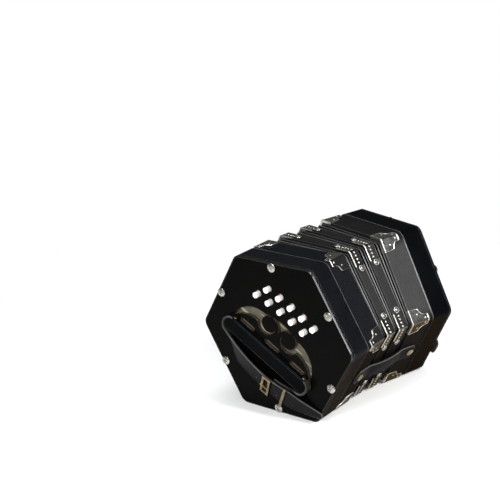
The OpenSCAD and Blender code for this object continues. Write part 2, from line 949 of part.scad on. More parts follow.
// A closed band of even thickness: each station is a pair of points, one on each edge of the band
module band(stations, thickness) {
    count = len(stations);
    function centre_of(i) = (stations[i][0] + stations[i][1]) / 2;
    function run_of(i) = centre_of(min(i + 1, count - 1)) - centre_of(max(i - 1, 0));
    function normal_of(i) = unit(cross(run_of(i), stations[i][0] - stations[i][1])) * thickness / 2;
    points = [
        for (i = [0 : count - 1])
            for (p = [
                stations[i][0] + normal_of(i), stations[i][1] + normal_of(i),
                stations[i][1] - normal_of(i), stations[i][0] - normal_of(i)
            ]) p
    ];
    faces = concat(
        [for (i = [0 : count - 2], j = [0 : 3])
            [4 * i + j, 4 * i + (j + 1) % 4, 4 * i + 4 + (j + 1) % 4]],
        [for (i = [0 : count - 2], j = [0 : 3])
            [4 * i + j, 4 * i + 4 + (j + 1) % 4, 4 * i + 4 + j]],
        [[3, 2, 1, 0], [4 * count - 4, 4 * count - 3, 4 * count - 2, 4 * count - 1]]
    );
    polyhedron(points = points, faces = faces);
}

// Stations that carry a strap round the left end of the hand rest
function wrap_station(i) =
    let (a = 90 + 180 * i / wrap_steps,
         x = -wrap_side + wrap_radius * cos(a),
         y = rest_mid + wrap_radius * sin(a))
    [[x, y, mix(strap_inner_top, strap_outer_top, i / wrap_steps)], [x, y, strap_edge]];

// Stations of the long part, leaning back as it bows away from the hand rest, then lying down as a tail
long_steps = 14;
long_end = keeper_side + 2;
function long_station(i) =
    let (t = i / long_steps,
         x = mix(-wrap_side, long_end, t),
         swell = sin(180 * min(1, t * swell_share)),
         settle = min(1, t * settle_rate),
         lean = strap_spread * sin(90 * settle),
         top = mix(strap_outer_top, strap_lift, settle) - strap_pull * pow(t, 4),
         y = rest_mid - wrap_radius - strap_bow * swell)
    [[x + strap_pull * (1 - t) * settle, y, top], [x, y - lean, mix(strap_edge, strap_low, settle)]];
tail_steps = 5;
function tail_station(i, tail) =
    let (t = i / tail_steps,
         a = long_station(long_steps),
         x = mix(long_end, tail[0], t),
         pinch = pow(t, 3))
    [mix([x, a[0][1], mix(a[0][2], strap_low + strap_edge / 2, t)], [x, tail[1], strap_low], pinch),
     mix([x, a[1][1] + strap_pull * t, strap_low], [x, tail[1] - tail[2], strap_low],
        pow(t, tail_taper))];

short_steps = 8;
short_clearance = 1.3;
short_drop = short_clearance + strap_thickness;
short_lap = 4;
short_end = buckle_side + short_lap;
short_narrowing = [1.6, 8];
short_lift = 0.1;
short_tuck = [[0, short_narrowing[0], -short_drop], [0, short_narrowing[1], short_lift]];
function short_station(i) =
    let (t = i / short_steps,
         x = mix(wrap_side, short_end, t),
         a = long_station(long_steps * (x + wrap_side) / (long_end + wrap_side)),
         tuck = min(1, t * tuck_rate))
    [mix([x, rest_mid - wrap_radius, strap_outer_top], a[0] + short_tuck[0], tuck),
     mix([x, rest_mid - wrap_radius, strap_edge], a[1] + short_tuck[1], tuck)];
function flip_side(s) = [[-s[0][0], s[0][1], s[0][2]], [-s[1][0], s[1][1], s[1][2]]];

// The tail is given by how far out it ends, the row of its upper edge there, and its width there
module hand_strap(tail) {
    color(leather)
    hand()
    translate([0, 0, box_depth]) {
        band(concat(
            [for (i = [0 : wrap_steps]) wrap_station(i)],
            [for (i = [1 : long_steps]) long_station(i)],
            [for (i = [1 : tail_steps]) tail_station(i, tail)]
        ), strap_thickness);
        band(concat(
            [for (i = [0 : wrap_steps]) flip_side(wrap_station(i))],
            [for (i = [1 : short_steps]) short_station(i)]
        ), strap_thickness);
    }
}

// Stands its children on the long part of the strap, at a distance along the rest
module on_strap(side) {
    place = long_station(long_steps * (side + wrap_side) / (long_end + wrap_side));
    slope = place[0] - place[1];
    translate([0, 0, box_depth])
    translate([side, (place[0][1] + place[1][1]) / 2, (place[0][2] + place[1][2]) / 2])
    rotate([atan2(slope[2], slope[1]), 0, 0])
    children();
}

module strap_ring(length, width, wire, height) {
    linear_extrude(height = height)
    difference() {
        square([length, width], center = true);
        square([length - 2 * wire, width - 2 * wire], center = true);
    }
}

module strap_fittings() {
    ring_width = norm([strap_spread, strap_lift]) + buckle_room;
    lift = strap_thickness / 2 + 2 * gap;
    color(brass)
    hand() {
        // buckle frame and its prong
        on_strap(buckle_side)
        translate([0, 0, lift]) {
            strap_ring(buckle_length, ring_width, buckle_wire, buckle_height);
            translate([gap - buckle_length / 2, -prong_width / 2, buckle_height + gap])
            cube([prong_length, prong_width, prong_height]);
            translate([-buckle_length / 2, -prong_width, 0])
            cube([buckle_wire, 2 * prong_width, buckle_height + gap + prong_height]);
        }
        // keeper
        on_strap(keeper_side)
        translate([-keeper_width / 2, -ring_width / 2, lift])
        cube([keeper_width, ring_width, keeper_height]);
        // screws that hold the strap's two ends to the hand rest
        for (i = [-1, 1])
            translate([i * (wrap_side - strap_screw_radius), rest_mid + wrap_radius + lift - 2 * gap,
                box_depth + strap_screw_level])
            rotate([-90, 0, 0])
            rod(strap_screw_radius, strap_screw_height);
    }
}

// ---------------------------------------------------------------- bellows

// A point of an outline that stands at a place along the bellows
function ring_point(place, turn, spot) =
    [place[0] + spot[0] * sin(turn), place[1] + centre_shift - spot[0] * cos(turn), inradius + spot[1]];

// The outline of a ring: two points at each corner, where its gusset folds
function fold_size(i, deep) =
    (i % 2 == 0 ? fold_peak : fold_peak - fold_depth) - (deep ? fold_wall : 0);
function fold_outline(i, deep) =
    tangent_points(fold_size(i, deep), max(gusset_rounding, rounding_at(fold_size(i, deep))));

module bellows_section(from, from_turn, to, to_turn) {
    rings = fold_rings + 1;
    spots = 2 * sides;
    function along(i) = mix(bellows_play, 1 - bellows_play, i / fold_rings);
    function ring(i, deep) = [
        for (spot = fold_outline(i, deep))
            ring_point(mix(from, to, along(i)), mix(from_turn, to_turn, i / fold_rings), spot)
    ];
    points = [
        for (deep = [false, true], i = [0 : fold_rings])
            for (p = ring(i, deep)) p
    ];
    function at(deep, i, c) = (deep * rings + i) * spots + c % spots;
    walls = [
        for (deep = [0, 1], i = [0 : fold_rings - 1], c = [0 : spots - 1])
            for (f = [
                [at(deep, i, c), at(deep, i + 1, c), at(deep, i + 1, c + 1)],
                [at(deep, i, c), at(deep, i + 1, c + 1), at(deep, i, c + 1)]
            ]) deep == 0 ? f : [f[2], f[1], f[0]]
    ];
    rims = [
        for (i = [0, fold_rings], c = [0 : spots - 1])
            for (f = [
                [at(0, i, c), at(0, i, c + 1), at(1, i, c + 1)],
                [at(0, i, c), at(1, i, c + 1), at(1, i, c)]
            ]) i == 0 ? f : [f[2], f[1], f[0]]
    ];
    polyhedron(points = points, faces = concat(walls, rims));
}

function flip(p) = [-p[0], p[1]];

module bellows(number) {
    color(leather)
    if (number == 1)
        bellows_section(flip(frame_near), 3 * bend, flip(mid_far), bend);
    color(leather)
    if (number == 2)
        bellows_section(flip(mid_near), bend, mid_near, -bend);
    color(leather)
    if (number == 3)
        bellows_section(mid_far, -bend, frame_near, -3 * bend);
}

// ---------------------------------------------------------------- bellows strap

// A point above the side of the hexagon that faces down and forward, at a station of the bellows
function side_point(place, turn, row, lift) =
    let (out = frame_inradius + lift,
         across = -(out * cos(hand_turn) - row * sin(hand_turn)),
         up = out * sin(hand_turn) + row * cos(hand_turn))
    [place[0] - across * sin(turn), place[1] + centre_shift + across * cos(turn), inradius + up];
band_lift = gap + band_thickness / 2;
band_reach_share = 0.72;
band_reach = frame_depth * band_reach_share;
band_tip_share = 0.3;
band_tip = band_width * band_tip_share;
band_shoulder = [0.35, 0.4];
band_point = 0.2;
band_stud_height = 1.8;
band_steps = 6;
// A station of the strap beyond the bellows, where it lies on a frame
function band_on_frame(along, half_width) =
    let (place = frame_near + along * [cos(3 * bend), -sin(3 * bend)])
    [side_point(place, -3 * bend, half_width, band_lift),
     side_point(place, -3 * bend, -half_width, band_lift)];
// A station of the strap over the bellows, from -1 at the left frame to 1 at the right one
function band_on_folds(t) =
    let (place = [frame_near[0] * t, frame_near[1] * t * t],
         lift = band_lift + band_slack * (1 - t * t))
    [side_point(place, -3 * bend * t, band_width / 2, lift),
     side_point(place, -3 * bend * t, -band_width / 2, lift)];
function flip_station(s) = [for (p = s) [-p[0], p[1], p[2]]];

module bellows_strap() {
    right = [
        band_on_frame(cut, band_width / 2),
        band_on_frame(band_reach - band_tip, band_width / 2),
        band_on_frame(band_reach - band_tip * band_shoulder[0], band_width * band_shoulder[1]),
        band_on_frame(band_reach, band_width * band_point)
    ];
    left = [for (i = [len(right) - 1 : -1 : 0]) flip_station(right[i])];
    color(leather)
    band(concat(
        left,
        [for (i = [1 : band_steps - 1]) band_on_folds(2 * i / band_steps - 1)],
        right
    ), band_thickness);
}

module band_stud() {
    color(brass)
    hand()
    translate([frame_inradius + band_lift + band_thickness / 2 + gap, 0, -frame_depth / 2])
    rotate([0, 90, 0])
    intersection() {
        rod(band_stud_diameter / 2, band_stud_height);
        translate([0, 0, band_stud_height - band_stud_diameter])
        sphere(r = band_stud_diameter, $fn = round_sides);
    }
}

module bellows_strap_fittings() {
    left_end()
    band_stud();
    right_end()
    band_stud();
}

// ---------------------------------------------------------------- air button

module air_button() {
    color(ivory)
    hand()
    translate([air_offset, air_row, 0])
    union() {
        translate([0, 0, plate_under - air_collar - air_travel])
        rod(button_radius, box_depth + button_proud - plate_under + air_collar + air_travel);
        translate([0, 0, -gap])
        rod(air_rod_radius, plate_under);
        translate([0, 0, -air_disc_thickness - gap])
        rod(air_disc_radius, air_disc_thickness);
    }
}

module air_spring() {
    top = plate_under - air_collar - air_travel - spring_wire / 2 - air_spring_play;
    bottom = pad_board_thickness + spring_wire / 2 + air_spring_play;
    color(brass)
    hand()
    translate([air_offset, air_row, 0])
    for (i = [0 : air_spring_turns - 1])
        translate([0, 0, mix(bottom, top, i / (air_spring_turns - 1))])
        coil(air_spring_radius, spring_wire);
}

// ---------------------------------------------------------------- pieces

left_end() end_plate(false);  // left_end_plate
left_end() fret_lining();  // left_fret_lining
left_end() action_box();  // left_action_box
left_end() pad_board(false);  // left_pad_board
left_end() lever_rack();  // left_lever_rack
left_end() key_springs();  // left_key_springs
left_end() reed_pan(false);  // left_reed_pan
left_end() reeds();  // left_reeds
left_end() bellows_frame();  // left_bellows_frame
left_end() corner_plates();  // left_corner_plates
left_end() end_bolts();  // left_end_bolts
left_end() hand_rest();  // left_hand_rest
left_end() hand_strap(left_tail);  // left_hand_strap
left_end() strap_fittings();  // left_strap_fittings
left_end() key(0);  // left_key_01
left_end() key(1);  // left_key_02
left_end() key(2);  // left_key_03
left_end() key(3);  // left_key_04
left_end() key(4);  // left_key_05
left_end() key(5);  // left_key_06
left_end() key(6);  // left_key_07
left_end() key(7);  // left_key_08
left_end() key(8);  // left_key_09
left_end() key(9);  // left_key_10
right_end() end_plate(true);  // right_end_plate
right_end() fret_lining();  // right_fret_lining
right_end() action_box();  // right_action_box
right_end() pad_board(true);  // right_pad_board
right_end() lever_rack();  // right_lever_rack
right_end() key_springs();  // right_key_springs
right_end() reed_pan(true);  // right_reed_pan
right_end() reeds();  // right_reeds
right_end() bellows_frame();  // right_bellows_frame
right_end() corner_plates();  // right_corner_plates
right_end() end_bolts();  // right_end_bolts
right_end() hand_rest();  // right_hand_rest
right_end() hand_strap(right_tail);  // right_hand_strap
right_end() strap_fittings();  // right_strap_fittings
right_end() key(0);  // right_key_01
right_end() key(1);  // right_key_02
right_end() key(2);  // right_key_03
right_end() key(3);  // right_key_04
right_end() key(4);  // right_key_05
right_end() key(5);  // right_key_06
right_end() key(6);  // right_key_07
right_end() key(7);  // right_key_08
right_end() key(8);  // right_key_09
right_end() key(9);  // right_key_10
right_end() air_button();  // right_air_button
right_end() air_spring();  // right_air_spring
mid_place(1) mid_frame();  // mid_frame_1
mid_place(2) mid_frame();  // mid_frame_2
mid_place(1) mid_corner_strips();  // mid_corner_strips_1
mid_place(2) mid_corner_strips();  // mid_corner_strips_2
bellows(1);  // bellows_1
bellows(2);  // bellows_2
bellows(3);  // bellows_3
bellows_strap();
bellows_strap_fittings();
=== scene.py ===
"""Concertina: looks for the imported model, in metres, in the row's frame."""
import json
import random
from math import copysign, cos, hypot, pi, radians, sin, sqrt, tan

import bmesh
import bpy
from mathutils import Matrix, Vector


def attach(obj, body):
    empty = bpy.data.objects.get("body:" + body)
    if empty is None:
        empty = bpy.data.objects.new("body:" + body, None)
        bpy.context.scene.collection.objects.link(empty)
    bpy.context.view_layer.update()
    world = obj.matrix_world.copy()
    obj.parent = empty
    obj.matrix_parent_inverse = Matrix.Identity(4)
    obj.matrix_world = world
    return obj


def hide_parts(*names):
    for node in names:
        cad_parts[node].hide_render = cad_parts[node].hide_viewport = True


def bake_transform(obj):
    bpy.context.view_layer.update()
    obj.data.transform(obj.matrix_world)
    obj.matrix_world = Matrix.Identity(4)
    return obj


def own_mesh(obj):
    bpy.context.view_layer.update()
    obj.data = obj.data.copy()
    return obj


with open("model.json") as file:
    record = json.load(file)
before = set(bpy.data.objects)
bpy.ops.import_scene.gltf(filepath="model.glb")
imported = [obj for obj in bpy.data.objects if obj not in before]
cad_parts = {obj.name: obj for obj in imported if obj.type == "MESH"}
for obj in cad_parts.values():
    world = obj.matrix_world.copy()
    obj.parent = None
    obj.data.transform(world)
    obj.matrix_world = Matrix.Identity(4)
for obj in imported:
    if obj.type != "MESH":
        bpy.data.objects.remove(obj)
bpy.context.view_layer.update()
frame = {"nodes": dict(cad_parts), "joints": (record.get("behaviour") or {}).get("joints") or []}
random.seed(7)

# -------- sizes, as in the part's source

MM = 0.001
# from the middle of the hexagon to its sides: the boxes, the end frames, the middle frames
FLATS = 80 * MM
FRAME_FLATS = 79 * MM
MID_FLATS = 78.2 * MM
# along the bellows: an action box, an end frame, a middle frame, and the folds between two frames
BOX = 27 * MM
FRAME = 28 * MM
MID = 11.5 * MM
GAP = 15.5 * MM
# an end plate's bevel, the rounding of the boxes' corners, the thickness of the corner metal
PLATE_BEVEL = 1.4 * MM
ROUNDING = 9 * MM
METAL = 0.6 * MM
# the fan: a middle frame is turned by one bend, the folds beyond it by two and an end by three
BEND = radians(2.6)


def along(place, length, turns):
    """The place that is a length further out, where the bellows have turned by so many bends."""
    return (place[0] + length * cos(turns * BEND), place[1] - length * sin(turns * BEND))


MID_NEAR = (GAP / 2, 0.0)
MID_FAR = along(MID_NEAR, MID, 1)
FRAME_NEAR = along(MID_FAR, GAP, 2)
SEAM = along(FRAME_NEAR, FRAME, 3)


def reach(flats, rounding):
    """How far the rounded corner of an outline stands from its middle."""
    return (flats - rounding) / cos(pi / 6) + rounding


# the outline's lowest and highest y, brought to either side of the middle
SHIFT = ((-SEAM[1] + (BOX - PLATE_BEVEL) * sin(3 * BEND) + reach(FLATS, ROUNDING) * cos(3 * BEND))
         - reach(MID_FLATS + METAL, ROUNDING - (FLATS - MID_FLATS - METAL))) / 2


def fanned(place, turn, level, u, v):
    """The point at u and v across the bellows, a level along them from a place on their middle line."""
    x = place[0] + level * cos(turn) + u * sin(turn)
    y = place[1] + level * sin(turn) - u * cos(turn)
    return Vector((x, y + SHIFT, FLATS + v))


MIRROR = Matrix.Scale(-1, 4, (1, 0, 0))
# its columns run along the button rows, from the hand rest to the buttons, and outwards from the seam
HAND = (Matrix.Translation((-SEAM[0], SEAM[1] + SHIFT, FLATS))
        @ Matrix.Rotation(3 * BEND, 4, "Z")
        @ Matrix(((0, 0, -1, 0), (-1, 0, 0, 0), (0, 1, 0, 0), (0, 0, 0, 1)))
        @ Matrix.Rotation(-pi / 6, 4, "Z"))
HAND_AXES = [tuple(HAND.to_3x3().col[k]) for k in range(3)]
ENDS = {"left": HAND, "right": MIRROR @ HAND}
INTO = {side: m.inverted() for side, m in ENDS.items()}


def hand(s, b, n, side="left"):
    """A point of an end, in millimetres: along the rows, across them, out from the seam."""
    return ENDS[side] @ Vector((s * MM, b * MM, n * MM))


# -------- materials

class Nodes:
    """A short way to write the node tree of a material or of the world."""

    def __init__(self, name, kind=bpy.data.materials, shader="Principled BSDF", **fixed):
        self.owner = kind.new(name)
        self.owner.use_nodes = True
        self.tree = self.owner.node_tree
        self.shader = self.tree.nodes[shader]
        for key, value in fixed.items():
            self.shader.inputs[key.replace("_", " ")].default_value = value

    def add(self, kind, values=(), **settings):
        """A new node, with some of its inputs, by name or number, linked or set."""
        node = self.tree.nodes.new("ShaderNode" + kind)
        for key, value in settings.items():
            setattr(node, key, value)
        for key, value in dict(values).items():
            self.put(node.inputs[key], value)
        return node

    def put(self, socket, value):
        if isinstance(value, bpy.types.NodeSocket):
            self.tree.links.new(value, socket)
        elif isinstance(value, tuple) and len(value) == 3 and socket.type == "RGBA":
            socket.default_value = (*value, 1)
        else:
            socket.default_value = value

    def place(self):
        return self.add("TexCoord").outputs["Object"]

    def looks_along(self, axis):
        """How far the surface looks along an axis, from minus one to one."""
        return self.dot(self.add("TexCoord").outputs["Normal"], axis)

    def turned(self):
        """Places along the rows, across them and out, as on the left end."""
        p = self.place()
        return self.add("CombineXYZ", {k: self.dot(p, HAND_AXES[k]) for k in range(3)}).outputs[0]

    def stretch(self, vector, scale, turn=(0, 0, 0)):
        return self.add("Mapping", {"Vector": vector, "Scale": scale, "Rotation": turn}).outputs[0]

    def noise(self, vector, scale, detail=4.0, rough=0.5, warp=0.0):
        values = dict(Vector=vector, Scale=scale, Detail=detail, Roughness=rough, Distortion=warp)
        return self.add("TexNoise", values).outputs["Fac"]

    def cells(self, vector, scale, feature="F1"):
        texture = self.add("TexVoronoi", dict(Vector=vector, Scale=scale), feature=feature)
        return texture.outputs["Distance"]

    def math(self, what, a, b=0.0):
        return self.add("Math", {0: a, 1: b}, operation=what).outputs[0]

    def times(self, a, b):
        return self.math("MULTIPLY", a, b)

    def plus(self, a, b):
        return self.math("ADD", a, b)

    def dot(self, a, b):
        return self.add("VectorMath", {0: a, 1: b}, operation="DOT_PRODUCT").outputs["Value"]

    def span(self, value, low, high, to_low=0.0, to_high=1.0):
        values = {"Value": value, "From Min": low, "From Max": high}
        values.update({"To Min": to_low, "To Max": to_high})
        return self.add("MapRange", values).outputs[0]

    def mix(self, factor, a, b):
        return self.add("Mix", {0: factor, 6: a, 7: b}, data_type="RGBA").outputs[2]

    def bump(self, height, depth, strength, rounding=None):
        """Bumps so many millimetres deep, over edges that look rounded by so many."""
        values = dict(Height=height, Distance=depth * MM, Strength=strength)
        if rounding:
            values["Normal"] = self.soften(rounding)
        return self.add("Bump", values).outputs[0]

    def soften(self, radius):
        return self.add("Bevel", {"Radius": radius * MM}, samples=4).outputs[0]

    def edge(self, radius):
        """How much the surface turns within so many millimetres: nothing on flats, one on an edge."""
        flat = self.add("NewGeometry").outputs["Normal"]
        return self.span(self.dot(self.soften(radius), flat), 0.90, 0.985, 1.0, 0.0)

    def glancing(self, facing, grazing):
        """A value that goes from one to the other as the surface turns away from the eye."""
        away = self.add("LayerWeight", {"Blend": 0.5}).outputs["Facing"]
        return self.span(away, 0.40, 0.70, facing, grazing)

    def underside(self):
        """One on faces that look down at the table, nothing on the others."""
        return self.span(self.looks_along((0, 0, -1)), 0.2, 0.45)

    def level_top(self):
        """One on faces that look straight up, nothing on the others."""
        return self.span(self.looks_along((0, 0, 1)), 0.9, 0.97)

    def below(self, shine, share=0.12):
        """The shine, with only a share of it left on faces that look down."""
        return self.times(shine, self.span(self.underside(), 0.0, 1.0, 1.0, share))

    def lit_upper_slopes(self):
        """One on the sloping upper sides, where light is painted on, nothing on top and underneath."""
        height = self.dot(self.place(), (0, 0, 1))
        upper_half = self.span(height, FLATS, FLATS + 10 * MM)
        return self.times(upper_half, self.span(height, 148 * MM, 155 * MM, 1, 0))

    def from_seam(self):
        """How far out from the seam of its own end a point is, on either end."""
        out = HAND.to_3x3().col[2]
        p = self.place()
        inner = self.times(self.math("ABSOLUTE", self.dot(p, (1, 0, 0))), out.x)
        return self.math("SUBTRACT", self.math("SUBTRACT", self.dot(p, (0, *out.yz)), inner),
                         HAND.to_translation().dot(out))

    def out(self, **links):
        for key, value in links.items():
            self.put(self.shader.inputs[key.replace("_", " ")], value)
        return self.owner


def grey(tone):
    return (tone, tone, tone)


def shade(tone, share):
    return tuple(share * c for c in tone)


def lacquer(name, tone, rub_and_highlight, rounding, level, rough=0.22, low_level=0.006, seam_highlight=False, rim=None):
    """Ebonised lacquer: faint orange peel, handling haze, edges paler in a fine line, partly rubbed and
    partly a painted highlight, and a painted warm reflection below. A painted highlight line may run along
    the seam of its end, and it may shine mostly from a rim outwards."""
    n = Nodes(name)
    p = n.place()
    haze = n.noise(p, 38, 5, 0.6)
    specks = n.noise(p, 900, 2, 0.5)
    edge = n.edge(rounding)
    wear_and_painted_light = n.times(edge, n.span(n.noise(p, 160, 4, 0.6), 0.2, 0.5, 0.35, 1.0))
    colour = n.mix(haze, tone, shade(tone, 2.0))
    # a painted warm reflection on the faces that look down
    colour = n.mix(n.times(n.underside(), 0.7), colour, (0.010, 0.0062, 0.0032))
    colour = n.mix(n.span(specks, 0.72, 0.8, 0, 0.12), colour, (0.04, 0.038, 0.035))
    # edges paler in a fine line: partly rubbed, partly a painted highlight
    colour = n.mix(n.times(wear_and_painted_light, 0.55 * rub_and_highlight), colour, grey(0.20))
    # a painted highlight line along the seam
    if seam_highlight:
        at_seam = n.span(n.from_seam(), 0.25 * MM, 0.6 * MM, 1.0, 0.0)
        line = n.times(at_seam, n.span(haze, 0.3, 0.6, 0.5, 1.0))
        colour = n.mix(n.below(line, 0.2), colour, grey(0.16))
    patches = n.plus(haze, n.times(specks, 0.3))
    roughness = n.span(patches, 0.4, 0.95, rough - 0.07, rough + 0.14)
    peel = n.bump(n.noise(p, 420, 2, 0.4), 0.05, 0.2, rounding)
    shine = n.below(n.plus(n.glancing(level, low_level), n.times(edge, 0.7)))
    if rim:
        shine = n.times(shine, n.span(n.from_seam(), rim - 0.3 * MM, rim + 0.1 * MM, 0.12, 1.0))
        shine = n.times(shine, n.span(n.underside(), 0.0, 0.5, 1.0, 0.25))
    return n.out(Base_Color=colour, Roughness=roughness, Specular_IOR_Level=shine, Normal=peel)


def leathercloth(name, tone, light, grain=1100, rough=0.42, level=0.09, low_level=0.012,
                 edge_tone=(0.16, 0.16, 0.155), rub_and_highlight=0.6, share_in_painted_shade=None):
    """Grained cloth or leather over wood: pebbled cells with dark creases, edges paler, partly rubbed and
    partly a painted highlight, and a painted warm reflection below. Off the upper slopes its colour may be
    darkened to a share of it, painted shade that leaves the upper slopes looking lit."""
    n = Nodes(name)
    p = n.place()
    pebble = n.cells(p, grain, "DISTANCE_TO_EDGE")
    crease = n.span(pebble, 0.02, 0.3)
    cloud = n.noise(p, 55, 4, 0.6)
    fine = n.noise(p, 2600, 3, 0.6)
    edge = n.edge(0.8)
    wear_and_painted_light = n.times(edge, n.span(n.noise(p, 260, 5, 0.7), 0.25, 0.55, 0.2, 1.0))
    colour = n.mix(cloud, tone, light)
    colour = n.mix(n.span(crease, 0, 1, 0.65, 0), colour, shade(tone, 0.3))
    # edges paler: partly rubbed, partly a painted highlight
    colour = n.mix(n.times(wear_and_painted_light, rub_and_highlight), colour, edge_tone)
    height = n.plus(crease, n.times(fine, 0.5))
    normal = n.bump(height, 0.16, 0.7, 0.7)
    shine = n.below(n.plus(n.glancing(level, low_level), n.times(edge, 0.6)))
    # off the upper slopes the colour goes towards black and the shine drops: painted shade, so the upper
    # slopes look lit
    if share_in_painted_shade:
        painted_lit = n.span(n.lit_upper_slopes(), 0, 1, share_in_painted_shade, 1)
        colour = n.mix(painted_lit, (0.002, 0.002, 0.0022), colour)
        shine = n.times(shine, painted_lit)
    # a painted warm reflection on the faces that look down
    colour = n.mix(n.times(n.underside(), 0.6), colour, (0.010, 0.0068, 0.0040))
    return n.out(Base_Color=colour, Specular_IOR_Level=shine, Normal=normal,
                 Roughness=n.span(n.plus(crease, cloud), 0.4, 1.7, rough + 0.12, rough - 0.05))


def metal(name, tone, dull, rough, grime=(0.03, 0.026, 0.02), polish_and_highlight=0.5, lip=None, wear_and_painted_light=None,
          patchy=0.4, tint=1.0, painted_top_sheen=None):
    """Plated metal that has lived a while: bright edges, partly rubbed and partly a painted highlight,
    tarnish in patches, grime in the pits. Faces that look down may take a painted brown reflection, and
    flat tops a painted paler grey reflection."""
    n = Nodes(name, Metallic=1.0, Specular_Tint=(*grey(tint), 1))
    p = n.place()
    patch = n.span(n.noise(p, 120, 6, 0.65, 0.4), 0.36, 0.7)
    fleck = n.span(n.cells(p, 1300), 0.05, 0.3)
    scratch = n.noise(n.stretch(p, (300, 2600, 900), (0.4, 0.2, 0.9)), 1.0, 3, 0.6)
    # edges brighter: partly rubbed, partly a painted highlight
    bright = n.times(n.edge(0.5), polish_and_highlight)
    colour = n.mix(patch, tone, dull)
    pits = n.times(n.math("SUBTRACT", 1.0, fleck), n.times(patch, patchy))
    colour = n.mix(pits, colour, grime)
    # a painted brown reflection on the faces that look down
    if wear_and_painted_light:
        colour = n.mix(n.underside(), colour, n.mix(patch, wear_and_painted_light, shade(wear_and_painted_light, 0.6)))
    # a painted paler grey reflection on faces that look straight up
    if painted_top_sheen:
        colour = n.mix(n.level_top(), colour, n.mix(patch, painted_top_sheen, shade(painted_top_sheen, 0.7)))
    colour = n.mix(bright, colour, lip or tuple(min(1, 1.25 * c) for c in tone))
    marks = n.plus(patch, n.times(scratch, 0.6))
    roughness = n.span(marks, 0.2, 1.6, rough - 0.05, rough + 0.16)
    normal = n.bump(scratch, 0.02, 0.3, 0.35)
    return n.out(Base_Color=colour, Roughness=roughness, Normal=normal)


def wood(name, tone, dark):
    """Plain straight-grained wood with fine pores."""
    n = Nodes(name, Specular_IOR_Level=0.35)
    slant = (0, 0.3, 0.5)
    grain = n.noise(n.stretch(n.place(), (60, 700, 700), slant), 1.0, 6, 0.6, 1.2)
    pores = n.noise(n.stretch(n.place(), (500, 4000, 4000), slant), 1.0, 2, 0.5)
    pores = n.span(pores, 0.6, 0.75)
    colour = n.mix(n.span(grain, 0.3, 0.72), tone, dark)
    colour = n.mix(n.times(pores, 0.5), colour, shade(dark, 0.4))
    return n.out(Base_Color=colour, Roughness=n.span(grain, 0.2, 0.8, 0.45, 0.62),
                 Normal=n.bump(n.math("SUBTRACT", grain, pores), 0.08, 0.4))


def lining(name):
    """Thin tan cloth behind the fretwork, with fine lighter threads running up it."""
    n = Nodes(name, Specular_IOR_Level=0.2, Sheen_Weight=0.3, Sheen_Roughness=0.6)
    p = n.place()
    warp = n.math("SINE", n.times(n.dot(p, HAND_AXES[0]), 2 * pi / (1.15 * MM)))
    weft = n.math("SINE", n.times(n.dot(p, HAND_AXES[1]), 2 * pi / (0.6 * MM)))
    cloud = n.noise(p, 90, 5, 0.6)
    streak = n.span(n.noise(n.stretch(n.turned(), (16, 330, 16)), 1.0, 2, 0.5, 0.6), 0.60, 0.66)
    colour = n.mix(n.span(warp, 0.1, 0.9), (0.048, 0.040, 0.022), (0.100, 0.088, 0.052))
    colour = n.mix(n.span(weft, -1, 1, 0.0, 0.35), colour, (0.022, 0.018, 0.010))
    colour = n.mix(n.span(cloud, 0.35, 0.75, 0, 0.6), colour, (0.020, 0.016, 0.009))
    colour = n.mix(n.times(streak, 0.75), colour, (0.34, 0.32, 0.25))
    height = n.plus(n.span(warp, -1, 1), n.times(n.span(weft, -1, 1), 0.6))
    return n.out(Base_Color=colour, Roughness=0.8, Normal=n.bump(height, 0.1, 0.5))


def ivory(name):
    """White button material, a little yellowed, with a soft bloom of fine scratches."""
    n = Nodes(name, Specular_IOR_Level=0.5, Subsurface_Weight=0.15, Subsurface_Scale=0.6 * MM,
              Coat_Weight=0.15)
    p = n.place()
    cloud = n.noise(p, 260, 4, 0.6)
    rings = n.noise(n.stretch(p, (300, 1800, 1800)), 1.0, 3, 0.5)
    colour = n.mix(n.span(cloud, 0.3, 0.7), (0.90, 0.89, 0.86), (0.84, 0.82, 0.77))
    colour = n.mix(n.span(rings, 0.55, 0.8, 0, 0.3), colour, (0.62, 0.59, 0.50))
    return n.out(Base_Color=colour, Roughness=n.span(cloud, 0.3, 0.7, 0.16, 0.32),
                 Normal=n.bump(rings, 0.02, 0.2, 0.4))


def felt(name, tone):
    """Fluffy felt; where the tone is dark, a sheet of painted shade in recesses."""
    n = Nodes(name, Specular_IOR_Level=0.1, Sheen_Weight=0.6, Sheen_Roughness=0.4)
    p = n.place()
    fluff = n.noise(p, 2200, 6, 0.75, 0.8)
    colour = n.mix(n.span(fluff, 0.3, 0.7), shade(tone, 0.6), tone)
    return n.out(Base_Color=colour, Roughness=0.95, Normal=n.bump(fluff, 0.15, 0.8))


